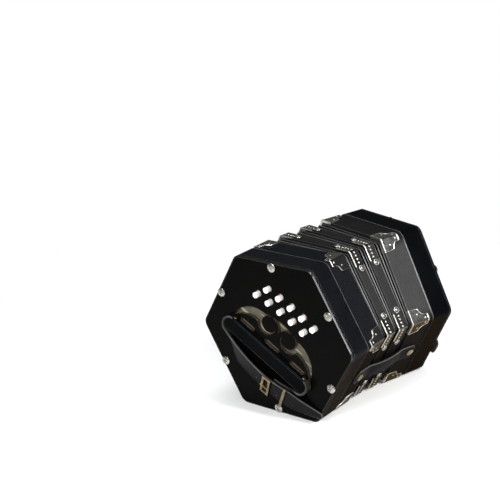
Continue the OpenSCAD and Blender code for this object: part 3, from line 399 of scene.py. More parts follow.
def strap_leather(name, tone, light):
    """Smooth leather, by its own UVs in metres: fine pores, a creased line along both edges, rubbed
    patches, and a painted warm reflection below.
    """
    n = Nodes(name)
    p = n.place()
    edge = n.dot(n.add("UVMap", uv_map="strap").outputs[0], (0, 1, 0))
    line = n.times(n.span(edge, 1.1 * MM, 1.5 * MM), n.span(edge, 1.9 * MM, 2.3 * MM, 1, 0))
    pores = n.cells(p, 2100)
    cloud = n.noise(p, 70, 5, 0.6, 0.5)
    rub_and_highlight = n.span(n.noise(n.stretch(p, (160, 500, 160)), 1.0, 5, 0.7), 0.52, 0.8)
    colour = n.mix(cloud, tone, light)
    colour = n.mix(n.times(rub_and_highlight, 0.5), colour, (0.03, 0.03, 0.032))
    colour = n.mix(n.times(line, 0.7), colour, (0.006, 0.006, 0.007))
    colour = n.mix(n.times(n.edge(0.4), 0.25), colour, grey(0.10))
    # a painted warm reflection on the faces that look down
    colour = n.mix(n.times(n.underside(), 0.75), colour, (0.0060, 0.0050, 0.0044))
    height = n.math("SUBTRACT", n.span(pores, 0.0, 0.5), n.times(line, 1.6))
    return n.out(Base_Color=colour, Specular_IOR_Level=n.below(0.05, 0.2),
                 Roughness=n.span(n.plus(cloud, rub_and_highlight), 0.4, 1.4, 0.36, 0.58),
                 Normal=n.bump(height, 0.09, 0.45))


def cut_leather(name, tone):
    """The cut edge of leather: fibrous and burnished."""
    n = Nodes(name, Specular_IOR_Level=0.4)
    p = n.place()
    fibre = n.noise(n.stretch(p, (900, 900, 2400)), 1.0, 5, 0.7)
    colour = n.mix(n.span(fibre, 0.3, 0.7), shade(tone, 0.55), tone)
    return n.out(Base_Color=colour, Roughness=n.span(fibre, 0.3, 0.7, 0.38, 0.6),
                 Normal=n.bump(fibre, 0.08, 0.5))


def fold_card(name):
    """The folded card of the bellows, faced with thin dark leather."""
    n = Nodes(name, Specular_IOR_Level=0.08)
    p = n.place()
    grain = n.span(n.cells(p, 1700, "DISTANCE_TO_EDGE"), 0.02, 0.25)
    cloud = n.noise(p, 80, 5, 0.6)
    colour = n.mix(cloud, (0.003, 0.003, 0.0033), (0.007, 0.007, 0.0075))
    colour = n.mix(n.span(grain, 0, 1, 0.5, 0), colour, grey(0.003))
    return n.out(Base_Color=colour, Roughness=n.span(cloud, 0.3, 0.7, 0.5, 0.68),
                 Normal=n.bump(grain, 0.08, 0.4))


LACQUER = lacquer("black_lacquer", (0.0011, 0.0010, 0.0009), rub_and_highlight=0.3, rounding=0.5, level=0.022)
BEVEL = lacquer("rubbed_bevel", grey(0.006), rub_and_highlight=0.4, rounding=0.3, level=0.62, rough=0.16,
                low_level=0.08, rim=BOX - PLATE_BEVEL / 2)
# one lacquer on both boxes: the far box's sides are a darker copy, painted shade; the near box's a bluer
# one, a painted reflection
BOX_LACQUER = {
    "left": lacquer("black_lacquer_sides", (0.0028, 0.0031, 0.0040), rub_and_highlight=0.6, rounding=0.6, level=0.021,
                    rough=0.26, seam_highlight=True),
    "right": lacquer("black_lacquer_far_sides", (0.0012, 0.0013, 0.0017), rub_and_highlight=0.5, rounding=0.6,
                     level=0.008, rough=0.26, low_level=0.003, seam_highlight=True),
}
# a pale cloth on the box's step at the seam, pale only on the upper slopes: a painted highlight
STEP_HIGHLIGHT = leathercloth("box_step_painted_highlight", (0.42, 0.42, 0.41), (0.60, 0.60, 0.58), share_in_painted_shade=0.02)
REST_LACQUER = lacquer("hand_rest_lacquer", (0.0015, 0.0017, 0.0020), rub_and_highlight=0.45, rounding=0.4, level=0.014,
                       rough=0.3)
# the right-hand frame is lighter: a painted sheen, as it catches the light
END_CLOTH = {
    "left": leathercloth("frame_leathercloth", (0.0044, 0.0048, 0.0068), (0.0085, 0.0092, 0.0125),
                         rough=0.50, level=0.050, low_level=0.010, edge_tone=(0.30, 0.30, 0.29),
                         rub_and_highlight=0.8),
    "right": leathercloth("sheen_painted_frame_leathercloth", grey(0.020), (0.040, 0.040, 0.039), grain=900,
                          rough=0.52, level=0.24, low_level=0.03, edge_tone=(0.36, 0.36, 0.35),
                          rub_and_highlight=0.8, share_in_painted_shade=0.3),
}
MID_CLOTH = leathercloth("mid_frame_leather", grey(0.014), grey(0.026), grain=1500, level=0.16,
                         low_level=0.05, share_in_painted_shade=0.5)
PEAK_LEATHER = leathercloth("fold_edge_leather", (0.22, 0.22, 0.217), (0.40, 0.40, 0.39), grain=2600,
                            rough=0.4, level=0.3, low_level=0.2, edge_tone=(0.4, 0.4, 0.39),
                            share_in_painted_shade=0.25)
# one nickel in a dark copy and a bright one where highlights fall: partly rubbed, partly a painted
# highlight
NICKEL = metal("old_nickel", (0.120, 0.121, 0.126), (0.075, 0.070, 0.060), rough=0.22, polish_and_highlight=1.0,
               lip=(0.60, 0.59, 0.56), wear_and_painted_light=(0.085, 0.058, 0.026), tint=0.45, painted_top_sheen=(0.46, 0.45, 0.41))
BRIGHT_NICKEL = metal("rubbed_and_highlight_nickel", (0.66, 0.64, 0.60), (0.50, 0.48, 0.44), rough=0.30,
                      wear_and_painted_light=(0.36, 0.28, 0.15), patchy=0.15, tint=0.8)
# a dark sheet for slots, gaps and pits: painted shade
RECESS_SHADE = felt("painted_recess_shade", (0.010, 0.009, 0.008))
BOLT_NICKEL = metal("bolt_nickel", (0.46, 0.45, 0.42), (0.30, 0.285, 0.25), rough=0.20)
BRASS = metal("dull_brass", (0.29, 0.225, 0.125), (0.15, 0.115, 0.062), rough=0.3,
              grime=(0.035, 0.026, 0.012))
STEEL = metal("drawn_wire", (0.55, 0.53, 0.49), (0.33, 0.30, 0.26), rough=0.28)
BOARD = wood("pale_board", (0.55, 0.41, 0.25), (0.38, 0.26, 0.14))
CUT_WOOD = wood("cut_plate_edge", (0.062, 0.040, 0.018), (0.028, 0.018, 0.008))
LINING = lining("tan_lining")
IVORY = ivory("button_white")
PAD_FELT = felt("pad_felt", (0.30, 0.27, 0.22))
STRAP = strap_leather("strap_leather", (0.0022, 0.0023, 0.0028), (0.0050, 0.0052, 0.0060))
STRAP_EDGE = cut_leather("strap_worn_corner", (0.095, 0.095, 0.098))
STRAP_CUT = cut_leather("strap_cut_edge", (0.010, 0.0095, 0.009))
STRAP_BACK = strap_leather("strap_flesh_side", (0.020, 0.017, 0.014), (0.036, 0.031, 0.025))
CARD = fold_card("bellows_card")

# -------- carried-over CAD nodes

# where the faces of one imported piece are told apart, in the millimetres of its end
BUTTON_ROWS = 20
BUTTON_FOOT = 15.6
AIR_BUTTON_FOOT = 18
FELT_TOP = 7.35
FRET_SIDE = 56
FRET_LOW = -15
FRET_HIGH = 24
BEVEL_FOOT = 25.2
PLATE_FACE = 26.9
STEP_TOP = 1.5
STEP_INSIDE = 74


def dress(node, *materials, side="left", choose=None):
    """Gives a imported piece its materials. To pick one for a face, choose is told where its middle is and
    how it faces: along the rows of the end on that side, across them and outwards."""
    data = frame["nodes"][node].data
    data.materials.clear()
    for m in materials:
        data.materials.append(m)
    into = INTO[side]
    turn = into.to_3x3()
    for face in data.polygons:
        face.material_index = 0
        if choose:
            face.material_index = choose(into @ face.center / MM, (turn @ face.normal).normalized())


def key_face(at, facing):
    """Ivory on the button, felt under the pad, brass on the lever."""
    if at.y > BUTTON_ROWS and at.z > BUTTON_FOOT:
        return 0
    return 2 if at.z < FELT_TOP else 1


def plate_face(at, facing):
    """Lacquer, with bare wood in the cuts of the fretwork and a rubbed bevel round the plate."""
    if 0.3 < facing.z < 0.95 and at.z > BEVEL_FOOT:
        return 2
    fretwork = abs(at.x) < FRET_SIDE and FRET_LOW < at.y < FRET_HIGH and at.z < PLATE_FACE
    return 1 if abs(facing.z) < 0.5 and fretwork else 0


def box_face(at, facing):
    """Lacquer, with a painted highlight on the step round the seam."""
    return 1 if facing.z < -0.3 and at.z < STEP_TOP and hypot(at.x, at.y) > STEP_INSIDE else 0


def air_button_face(at, facing):
    return 0 if at.z > AIR_BUTTON_FOOT else 1


KEYS = 10
ALL_OVER = {"fret_lining": LINING, "pad_board": BOARD, "lever_rack": BRASS, "key_springs": STEEL,
            "reed_pan": BOARD, "reeds": BRASS, "end_bolts": BOLT_NICKEL, "hand_rest": REST_LACQUER,
            "strap_fittings": BRASS}

for side in ("left", "right"):
    for part, material in ALL_OVER.items():
        dress(f"{side}_{part}", material)
    dress(side + "_end_plate", LACQUER, CUT_WOOD, BEVEL, side=side, choose=plate_face)
    dress(side + "_action_box", BOX_LACQUER[side], STEP_HIGHLIGHT, side=side, choose=box_face)
    dress(side + "_bellows_frame", END_CLOTH[side])
    for k in range(1, KEYS + 1):
        dress(f"{side}_key_{k:02d}", IVORY, BRASS, PAD_FELT, side=side, choose=key_face)
dress("mid_frame_1", MID_CLOTH)
dress("mid_frame_2", MID_CLOTH)
dress("right_air_button", IVORY, BRASS, side="right", choose=air_button_face)
dress("right_air_spring", STEEL)
dress("bellows_strap_fittings", BRASS)

# -------- mesh helpers


def rework(data, change):
    """Makes a change to a mesh by way of bmesh."""
    bm = bmesh.new()
    bm.from_mesh(data)
    change(bm)
    bm.to_mesh(data)
    bm.free()


def linked(name, data):
    """A new object of the scene."""
    piece = bpy.data.objects.new(name, data)
    bpy.context.scene.collection.objects.link(piece)
    return piece


def mesh_object(name, points, faces, materials, marks=None, smooth=True):
    """A piece from points and faces; marks pick each face's material. Smooth ones are turned outwards."""
    data = bpy.data.meshes.new(name)
    data.from_pydata([tuple(p) for p in points], [], faces)
    for m in materials:
        data.materials.append(m)
    if marks is not None:
        data.polygons.foreach_set("material_index", marks)
    data.update()
    if smooth:
        data.polygons.foreach_set("use_smooth", [True] * len(data.polygons))
        rework(data, lambda bm: bmesh.ops.recalc_face_normals(bm, faces=bm.faces))
    return linked(name, data)


def rings(count, size, first=0):
    """The faces between rings of points, where each ring has as many points as the size."""
    faces = []
    for a in range(first, first + (count - 1) * size, size):
        for k in range(size):
            after = (k + 1) % size
            faces.append((a + k, a + after, a + after + size, a + k + size))
    return faces


def turned_points(foot, one, out, outline, sides):
    """Rings of points round an axis: the outline gives the radius and the height of each."""
    two = out.cross(one)
    angles = [2 * pi * k / sides for k in range(sides)]
    circle = [cos(a) * one + sin(a) * two for a in angles]
    return [foot + radius * c + out * height for radius, height in outline for c in circle]


def smooth_line(points, count):
    """About so many points, evenly picked from a Catmull-Rom curve through the given vectors."""
    p = [points[0] * 2 - points[1], *points, points[-1] * 2 - points[-2]]
    per_span = 12
    dense = []
    for i in range(1, len(p) - 2):
        for j in range(per_span):
            t = j / per_span
            dense.append(0.5 * ((2 * p[i]) + (p[i + 1] - p[i - 1]) * t
                                + (2 * p[i - 1] - 5 * p[i] + 4 * p[i + 1] - p[i + 2]) * t * t
                                + (3 * p[i] - p[i - 1] - 3 * p[i + 1] + p[i + 2]) * t ** 3))
    dense.append(points[-1].copy())
    step = max(1, len(dense) // count)
    left_over = (len(dense) - 1) % step
    return dense[::step] + ([dense[-1]] if left_over else [])


# -------- springs, one piece for each key

BESIDE_LEVER = 1.5 * MM


def copied(node, name, wanted):
    """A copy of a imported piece, with only the faces whose middle is wanted."""
    piece = linked(name, frame["nodes"][node].data.copy())

    def drop_others(bm):
        others = [f for f in bm.faces if not wanted(f.calc_center_median())]
        bmesh.ops.delete(bm, geom=others, context="FACES")

    rework(piece.data, drop_others)
    return piece


def key_springs(side):
    """One spring for each key: the faces of the springs beside its lever, as a piece of its own."""
    axles = {j["child"]: INTO[side] @ Vector(j["pos_m"]) for j in frame["joints"]
             if j["name"].startswith(side + "_key")}

    def nearest(middle):
        at = (INTO[side] @ middle).x - BESIDE_LEVER
        return min(axles, key=lambda body: abs(axles[body].x - at))

    for body, axle in axles.items():
        spring = copied(side + "_key_springs", body.replace("_body", "_spring"),
                        lambda middle: nearest(middle) == body)
        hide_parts(side + "_key_springs")
        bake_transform(spring)


def air_button_spring():
    """The coil under the air button, as a piece of its own on the right end."""
    coil = copied("right_air_spring", "air_button_spring", lambda middle: True)
    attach(coil, "right_end")
    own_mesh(coil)
    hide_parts("right_air_spring")


key_springs("left")
key_springs("right")
air_button_spring()

# -------- bellows

FOLDS = 3
WALLS = 2 * FOLDS
FOLD_PEAK = MID_FLATS - 2.3 * MM
FOLD_DEPTH = 12 * MM
FOLD_CORNER = 1.6 * MM
CARD_THICKNESS = 0.7 * MM
WALL_STEPS = 10
WALL_BOW = 0.93
PEAK_FROM = 0.93
PEAK_DROP = 0.35 * MM
LEATHER_FOOT = 0.88
LEATHER_TOP = 0.97
# shares of a section's length at either end: inside the frame, and held still by it
GLUED = 0.0065
HELD = 0.02
RIPPLE = 0.22 * MM
HALF_WAVES = 6
ARC = 7
FLAT = 12
RING = 6 * (ARC + FLAT)


def outline_point(flats, k, rounding):
    """A point of a hexagon with rounded corners: flats is its reach to a side, k counts round it."""
    side, j = divmod(k, ARC + FLAT)

    def on_corner(corner, f):
        a = radians(60 * corner)
        b = a + radians(60 * f - 30)
        out = (flats - rounding) / cos(pi / 6)
        return out * Vector((cos(a), sin(a))) + rounding * Vector((cos(b), sin(b)))

    if j < ARC:
        return on_corner(side, j / (ARC - 1))
    return on_corner(side, 1).lerp(on_corner(side + 1, 0), (j - ARC + 1) / (FLAT + 1))


def fold_profile():
    """For each ring of a section, how far along it is and how far up from the valleys to the peaks."""
    rows = []
    for wall in range(WALLS):
        for step in range(WALL_STEPS):
            f = step / WALL_STEPS
            up = f if wall % 2 else 1 - f
            rows.append(((wall + f) / WALLS, up ** WALL_BOW))
    rows.append((1.0, 1.0))
    return rows


def fold_ring(t, rise, start, start_turn, end, end_turn, wobble, phase):
    """One ring of points. The folds stand out unevenly and ripple, except where the frames hold them."""
    fold = min(WALLS, round(t * WALLS))
    free = HELD < t < 1 - HELD
    radius = FOLD_PEAK - FOLD_DEPTH * (1 - rise) + wobble[fold] * rise * free
    radius -= PEAK_DROP * max(0, (rise - PEAK_FROM) / (1 - PEAK_FROM)) ** 2
    at = GLUED + t * (1 - 2 * GLUED)
    place = (start[0] + (end[0] - start[0]) * at, start[1] + (end[1] - start[1]) * at)
    turn = start_turn + (end_turn - start_turn) * t
    points = []
    for k in range(RING):
        u, v = outline_point(radius, k, FOLD_CORNER)
        ripple = RIPPLE * sin(HALF_WAVES * pi * k / RING + phase[fold]) * free
        points.append(fanned(place, turn, ripple, u, v))
    return points


def bellows(number, start, start_turn, end, end_turn):
    """One section of folded card between two frames, with leather over its peaks."""
    rows = fold_profile()
    wobble = [random.uniform(-0.35, 0.35) * MM for _ in range(WALLS + 1)]
    phase = [random.uniform(0, 6.28) for _ in range(WALLS + 1)]
    points, marks = [], []
    for t, rise in rows:
        points += fold_ring(t, rise, start, start_turn, end, end_turn, wobble, phase)
    for (_, before), (_, after) in zip(rows, rows[1:]):
        leather = max(before, after) > LEATHER_TOP and min(before, after) > LEATHER_FOOT
        marks += [int(leather)] * RING
    faces = rings(len(rows), RING)
    piece = mesh_object(f"bellows_folds_{number}", points, faces, (CARD, PEAK_LEATHER), marks)
    solid = piece.modifiers.new("card", "SOLIDIFY")
    solid.thickness = CARD_THICKNESS
    solid.offset = -1
    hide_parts(f"bellows_{number}")
    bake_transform(piece)


def flip(place):
    return (-place[0], place[1])


bellows(1, flip(FRAME_NEAR), 3 * BEND, flip(MID_FAR), BEND)
bellows(2, flip(MID_NEAR), BEND, MID_NEAR, -BEND)
bellows(3, MID_FAR, -BEND, FRAME_NEAR, -3 * BEND)

# -------- corner metal

WRAP_ROUNDING = 1.6 * MM
FLANGE = 2 * MM
# the marks: dark nickel; a bright copy where highlights fall, partly rubbed and partly a painted
# highlight; painted shade in recesses
DARK, BRIGHT, IN_SHADE = 0, 1, 2


def in_mm(*pairs):
    """Pairs of measures that are given in millimetres."""
    return [(a * MM, b * MM) for a, b in pairs]


# a corner plate: how far it runs round the corner, how deep it is at the end of its arm and at the
# corner, half the width of its deepest part, the round bite out of each arm, and the nails in it
PLATE_ARM = 14.5 * MM
ARM_DEPTH = 11.5 * MM
PLATE_DEPTH = 22.5 * MM
PLATE_TIP = 6.5 * MM
BITE = 7.2 * MM
BITE_FROM_CORNER = 13.3 * MM
BITE_LEVEL = 20 * MM
NAILS = in_mm((8.27, 8.97), (2.73, 18))

# a strip on a middle frame: how far it runs round the corner, with beads on it and a screw at each end
STRIP_ARM = 16.5 * MM
BEADS = 4
BEAD_STEP = STRIP_ARM / (BEADS + 0.5)
WASHER_AT = 19.5 * MM
SLOT_LENGTH = 1.4 * MM
SLOT_WIDTH = 0.28 * MM
SLOT_HEIGHT = 1.13 * MM


class Metalwork:
    """Sheet metal wrapped round the corners of one frame on the right half, or mirrored for the left."""

    def __init__(self, place, turns, flats, mirrored):
        self.place = place
        self.turn = -turns * BEND
        self.flats = flats
        self.mirror = -1 if mirrored else 1
        self.points, self.faces, self.marks = [], [], []

    def point(self, corner, w, level, height):
        """w runs round the corner from arm to arm, level along the bellows, height off the flat."""
        straight = WRAP_ROUNDING * tan(pi / 6)
        share = max(-1, min(1, w / straight))
        a = radians(60 * corner)
        b = radians(60 * corner + 30 * share)
        centre = (self.flats - WRAP_ROUNDING) / cos(pi / 6)
        run = copysign(max(0, abs(w) - straight), w)
        u = centre * cos(a) + (WRAP_ROUNDING + height) * cos(b) - run * sin(b)
        v = centre * sin(a) + (WRAP_ROUNDING + height) * sin(b) + run * cos(b)
        at = fanned(self.place, self.turn, level, u, v)
        at.x *= self.mirror
        return at

    def sheet(self, corner, columns, profile, bright):
        """A grid: in each column the profile gives levels and heights; bright rows are partly rubbed metal
        and partly a painted highlight.
        """
        first = len(self.points)
        rows = len(profile(columns[0]))
        for w in columns:
            self.points += [self.point(corner, w, level, height) for level, height in profile(w)]
        for i in range(len(columns) - 1):
            for j in range(rows - 1):
                a = first + i * rows + j
                self.faces.append((a, a + 1, a + rows + 1, a + rows))
                self.marks.append(BRIGHT if j in bright else DARK)

    def turned(self, corner, w, level, outline, marks, sides):
        """A small turned piece on the metal, with its outline from the rim to the middle."""
        out = (self.point(corner, w, level, MM) - self.point(corner, w, level, 0)).normalized()
        foot = self.point(corner, w, level, METAL)
        one = (self.point(corner, w, level + MM, METAL) - foot).normalized()
        first = len(self.points)
        self.points += turned_points(foot, one, out, outline, sides)
        self.faces += rings(len(outline), sides, first)
        for mark in marks[:-1]:
            self.marks += [mark] * sides
        self.faces.append(tuple(range(len(self.points) - sides, len(self.points))))
        self.marks.append(marks[-1])

    def slot(self, corner, w, level):
        """The slot of a screw, dark with painted shade, turned another way at each corner."""
        turn = 0.6 + corner
        first = len(self.points)
        for dx, dy in ((-1, -1), (1, -1), (1, 1), (-1, 1)):
            x = dx * SLOT_LENGTH * cos(turn) - dy * SLOT_WIDTH * sin(turn)
            y = dx * SLOT_LENGTH * sin(turn) + dy * SLOT_WIDTH * cos(turn)
            self.points.append(self.point(corner, w + x, level + y, METAL + SLOT_HEIGHT))
        self.faces.append(tuple(range(first, first + 4)))
        self.marks.append(IN_SHADE)

    def finish(self, name, node, body):
        """The dark metal is shaded flat, so that its bends stay crisp."""
        piece = mesh_object(name, self.points, self.faces, (NICKEL, BRIGHT_NICKEL, RECESS_SHADE), self.marks)
        piece.data.polygons.foreach_set("use_smooth", [mark != DARK for mark in self.marks])
        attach(piece, body)
        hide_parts(node)


def columns_over(arm, step):
    count = round(2 * arm / step)
    return [arm * (2 * k / count - 1) for k in range(count + 1)]


def plate_edge(d):
    """How far a corner plate reaches from the bellows side, at a distance from the corner."""
    if d >= PLATE_ARM - MM:
        return ARM_DEPTH * max(0.02, (PLATE_ARM - d) / MM)
    beyond_tip = max(0, d - PLATE_TIP)
    slope = PLATE_DEPTH - beyond_tip * (PLATE_DEPTH - ARM_DEPTH) / (PLATE_ARM - MM - PLATE_TIP)
    off = abs(d - BITE_FROM_CORNER)
    return min(slope, BITE_LEVEL - sqrt(BITE ** 2 - off ** 2)) if off < BITE else slope


# the bent edge of the sheet, as levels and heights: rolled over, or only folded
ROLL = in_mm((-0.6, 0.05), (-0.58, 0.45), (-0.3, 0.85), (0.1, 0.95), (0.5, 0.8), (0.7, 0.6))
FOLDED = in_mm((-0.6, 0.05), (-0.52, 0.3), (-0.33, 0.5), (0, 0.6), (0.3, 0.6), (0.6, 0.6))
# rows of a profile
FLANGE_ROW = 0
ROLL_ROWS = range(1, 6)
FAR_ROLL_ROWS = range(7, 12)
LIP_ROWS = range(8, 13)


def plate_profile(w, bent):
    """From the flange on the bellows side over the bent edge to the lip along the plate's cut outline."""
    edge = plate_edge(abs(w))
    squeeze = min(1, edge / (3 * MM))
    roll = [(level * (squeeze if level > 0 else 1), height) for level, height in bent]
    lip = min(MM, edge / 3)
    return [(-METAL, -FLANGE)] + roll + [(max(edge / 2, roll[-1][0]), METAL), (edge - 1.3 * lip, METAL),
                                         (edge - lip, 0.75 * MM), (edge - 0.5 * lip, 0.95 * MM),
                                         (edge - 0.1 * lip, 0.7 * MM), (edge, 0.3 * MM), (edge, 0)]


def strip_profile(bent, far_bent):
    """From the flange on the inner side over the strip to the flange on its other side."""
    far = [(-METAL, -FLANGE)] + far_bent
    return [(-METAL, -FLANGE)] + bent + [(MID - level, height) for level, height in reversed(far)]


# turned pieces: radii and heights of the outline, the look of each part of it, and how many sides
# a bead's foot is dark and its top bright: painted shade and painted highlight
BEAD = (in_mm((1, -0.1), (0.95, 0.16), (0.7, 0.42), (0.3, 0.55)), [DARK, BRIGHT, BRIGHT, BRIGHT], 14)
NAIL = (in_mm((0.95, -0.1), (0.85, 0.18), (0.5, 0.34)), [DARK, BRIGHT, BRIGHT], 12)
# a cup washer, the gap in it, dark with painted shade, and the head of its screw
WASHER = (in_mm((3.4, -0.6), (3.4, 0.1), (3.2, 0.6), (2.85, 0.95), (2.5, 0.85), (2.35, 0.3),
                (1.65, 0.3), (1.5, 0.8), (1.1, 1.05), (0.5, 1.1)),
          [DARK] * 2 + [BRIGHT] * 2 + [IN_SHADE] * 3 + [BRIGHT] * 3, 24)


def corner_plates(side, bent, bright):
    work = Metalwork(FRAME_NEAR, 3, FRAME_FLATS, side == "left")
    for corner in range(6):
        work.sheet(corner, columns_over(PLATE_ARM, 0.5 * MM), lambda w: plate_profile(w, bent), bright)
        for arm in (-1, 1):
            for d, level in NAILS:
                work.turned(corner, arm * d, level, *NAIL)
    work.finish(side + "_corner_metal", side + "_corner_plates", side + "_end")


def corner_strips(number, profile, bright):
    work = Metalwork(MID_NEAR, 1, MID_FLATS, number == 1)
    for corner in range(6):
        work.sheet(corner, columns_over(STRIP_ARM, 0.9 * MM), lambda w: profile, bright)
        for arm in (-1, 1):
            for i in range(BEADS):
                work.turned(corner, arm * (i + 0.6) * BEAD_STEP, MID / 2, *BEAD)
            work.turned(corner, arm * WASHER_AT, MID / 2, *WASHER)
            work.slot(corner, arm * WASHER_AT, MID / 2)
    work.finish(f"mid_metal_{number}", f"mid_corner_strips_{number}", f"mid_{number}")


# only edges that face the left-hand end are rolled over; they are bright, partly rubbed and partly a
# painted highlight, like the plates' lips
corner_plates("left", FOLDED, LIP_ROWS)
corner_plates("right", ROLL, [FLANGE_ROW, *ROLL_ROWS, *LIP_ROWS])
corner_strips(1, strip_profile(FOLDED, ROLL), FAR_ROLL_ROWS)
corner_strips(2, strip_profile(ROLL, FOLDED), ROLL_ROWS)

# -------- straps, in millimetres from an end plate

LEATHER = 2.2
REST_MID = -18.8
REST_HALF = 6
WRAP = REST_HALF + 0.3 + LEATHER / 2
WRAP_SIDE = 49.0
LONG_END = 40.0
SHORT_END = 20.5
EDGE_HIGH = 10.5
EDGE_TOP = 12
ON_PLATE = 1.6
SAG = 9
LEAN = 22
# how far out each tail ends, the row of its upper edge there, and its width there
TAILS = {"left": (82.0, -31.5, 6.5), "right": (82.5, -3.0, 17.5)}
WRAP_STEPS, LONG_STEPS, TAIL_STEPS, TIP_STEPS, SHORT_STEPS = 6, 14, 5, 3, 8
FACE, CORNER, FLESH, CUT = 0, 1, 2, 3


def between(a, b, t):
    return a * (1 - t) + b * t


def wrap_station(i):
    """Round the end of the hand rest."""
    a = radians(90 + 180 * i / WRAP_STEPS)
    x = -WRAP_SIDE + WRAP * cos(a)
    y = REST_MID + WRAP * sin(a)
    return Vector((x, y, 7 + 3.5 * i / WRAP_STEPS)), Vector((x, y, 1))


def long_station(i):
    """From the rest's end down over the hand: it sags, and its lower edge settles onto the plate."""
    t = i / LONG_STEPS
    x = between(-WRAP_SIDE, LONG_END, t)
    settle = min(1, t * 3.2)
    y = REST_MID - WRAP - SAG * sin(radians(180 * min(1, t * 0.72)))
    top = between(EDGE_HIGH, EDGE_TOP, settle) - 4 * t ** 4
    low = y - LEAN * sin(radians(90 * settle))
    return Vector((x + 4 * (1 - t) * settle, y, top)), Vector((x, low, between(1, ON_PLATE, settle)))


def tip_rounding(tail):
    return min(4, 0.45 * tail[2])


def tip_station(i, tail):
    """Round the tip of the tail."""
    a = radians(90 * i / TIP_STEPS)
    x = tail[0] - tip_rounding(tail) * (1 - sin(a))
    inset = tip_rounding(tail) * (1 - cos(a))
    return Vector((x, tail[1] - inset, ON_PLATE)), Vector((x, tail[1] - tail[2] + inset, ON_PLATE))


def tail_station(i, tail):
    """From the keeper to the tail, which narrows and lies down on the plate."""
    t = i / TAIL_STEPS
    top, low = long_station(LONG_STEPS)
    x = between(LONG_END, tail[0] - tip_rounding(tail), t)
    end_top = Vector((x, tail[1], ON_PLATE))
    end_low = Vector((x, tail[1] - tail[2], ON_PLATE))
    return (between(Vector((x, top.y, between(top.z, 2.1, t))), end_top, t ** 3),
            between(Vector((x, low.y + 4 * t, ON_PLATE)), end_low, t ** 1.6))


def short_station(i):
    """From the rest's other end to the buckle, tucked under the long part."""
    t = i / SHORT_STEPS
    x = between(WRAP_SIDE, SHORT_END, t)
    top, low = long_station(LONG_STEPS * (x + WRAP_SIDE) / (LONG_END + WRAP_SIDE))
    tuck = min(1, t * 2.5)
    return (between(Vector((x, REST_MID - WRAP, EDGE_HIGH)), top + Vector((0, 1.6, -3.5)), tuck),
            between(Vector((x, REST_MID - WRAP, 1)), low + Vector((0, 8, 0.1)), tuck))


def flipped(pair):
    return tuple(Vector((-p.x, p.y, p.z)) for p in pair)


COLUMNS = 14
CROWN = 0.35
EDGE_BULGE = 0.25
CORNER_INSET = 0.22


def strap_section(half):
    """Round the leather: how far across, how far up, the cut edge's bulge; then each face's kind."""
    section = [(j / COLUMNS, half, 0) for j in range(COLUMNS + 1)]
    section += [(1, half * 0.7, EDGE_BULGE), (1, -half * 0.7, EDGE_BULGE)]
    section += [(j / COLUMNS, -half, 0) for j in range(COLUMNS, -1, -1)]
    section += [(0, -half * 0.7, -EDGE_BULGE), (0, half * 0.7, -EDGE_BULGE)]
    kinds = [FACE] * COLUMNS + [CORNER, CUT, CUT] + [FLESH] * COLUMNS + [CUT, CUT, CORNER]
    return section, kinds


def strap(name, pairs, place, body, thickness=LEATHER, count=90):
    """A leather band through pairs of edge points: rounded cut edges and a slightly crowned face."""
    tops = smooth_line([a for a, _ in pairs], count)
    lows = smooth_line([b for _, b in pairs], count)
    centres = [(a + b) / 2 for a, b in zip(tops, lows)]
    half = thickness / 2
    section, kinds = strap_section(half)
    size = len(section)
    points, uvs = [], []
    length = 0.0
    for i, (a, b) in enumerate(zip(tops, lows)):
        run = centres[min(i + 1, len(centres) - 1)] - centres[max(i - 1, 0)]
        if i:
            length += (centres[i] - centres[i - 1]).length
        across = a - b
        width = across.length
        out = run.cross(across).normalized()
        for f, h, bulge in section:
            inset = CORNER_INSET if abs(h) == half and f in (0, 1) else 0
            g = f + inset / width * (1 - 2 * f)
            rise = CROWN * 4 * f * (1 - f)
            points.append(place(a - across * g + out * (h + rise) - across.normalized() * bulge))
            uvs.append((length * MM, min(f, 1 - f) * width * MM))
    faces = rings(len(tops), size)
    marks = kinds * (len(tops) - 1)
    for end in (0, len(tops) - 1):
        centre = len(points)
        points.append(place(centres[end]))
        uvs.append((0, 0))
        for j in range(size):
            faces.append((end * size + j, end * size + (j + 1) % size, centre))
            marks.append(CUT)
    piece = mesh_object(name, points, faces, (STRAP, STRAP_EDGE, STRAP_BACK, STRAP_CUT), marks)
    layer = piece.data.uv_layers.new(name="strap")
    for loop in piece.data.loops:
        layer.data[loop.index].uv = uvs[loop.vertex_index]
    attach(piece, body)
    return piece


# where the hand straps are punched, along and across the rows
HOLES = [(3.4, -48.4), (30.5, -50.1), (50.0, -46.6)]
ABOVE_STRAP = 70
HOLE_SIDES = 12
# radius and height, from the pressed rim to the foot of the pit
PIT = in_mm((1.25, 0.02), (0.95, 0.14), (0.75, 0.05))


def punched_holes(band, side):
    """Small pits with a pressed rim, where the strap was punched for its buckle; the foot of each is a
    dark disc of painted shade.
    """
    points, faces, marks = [], [], []
    inwards = -ENDS[side].to_3x3().col[2]
    for s, b in HOLES:
        found, at, normal, _ = band.ray_cast(hand(s, b, ABOVE_STRAP, side), inwards)
        if not found:
            continue
        faces += rings(len(PIT), HOLE_SIDES, len(points))
        points += turned_points(at, normal.orthogonal().normalized(), normal, PIT, HOLE_SIDES)
        faces.append(tuple(range(len(points) - HOLE_SIDES, len(points))))
        marks += [0] * (2 * HOLE_SIDES) + [1]
    piece = mesh_object(side + "_strap_holes", points, faces, (STRAP, RECESS_SHADE), marks)
    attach(piece, side + "_end")


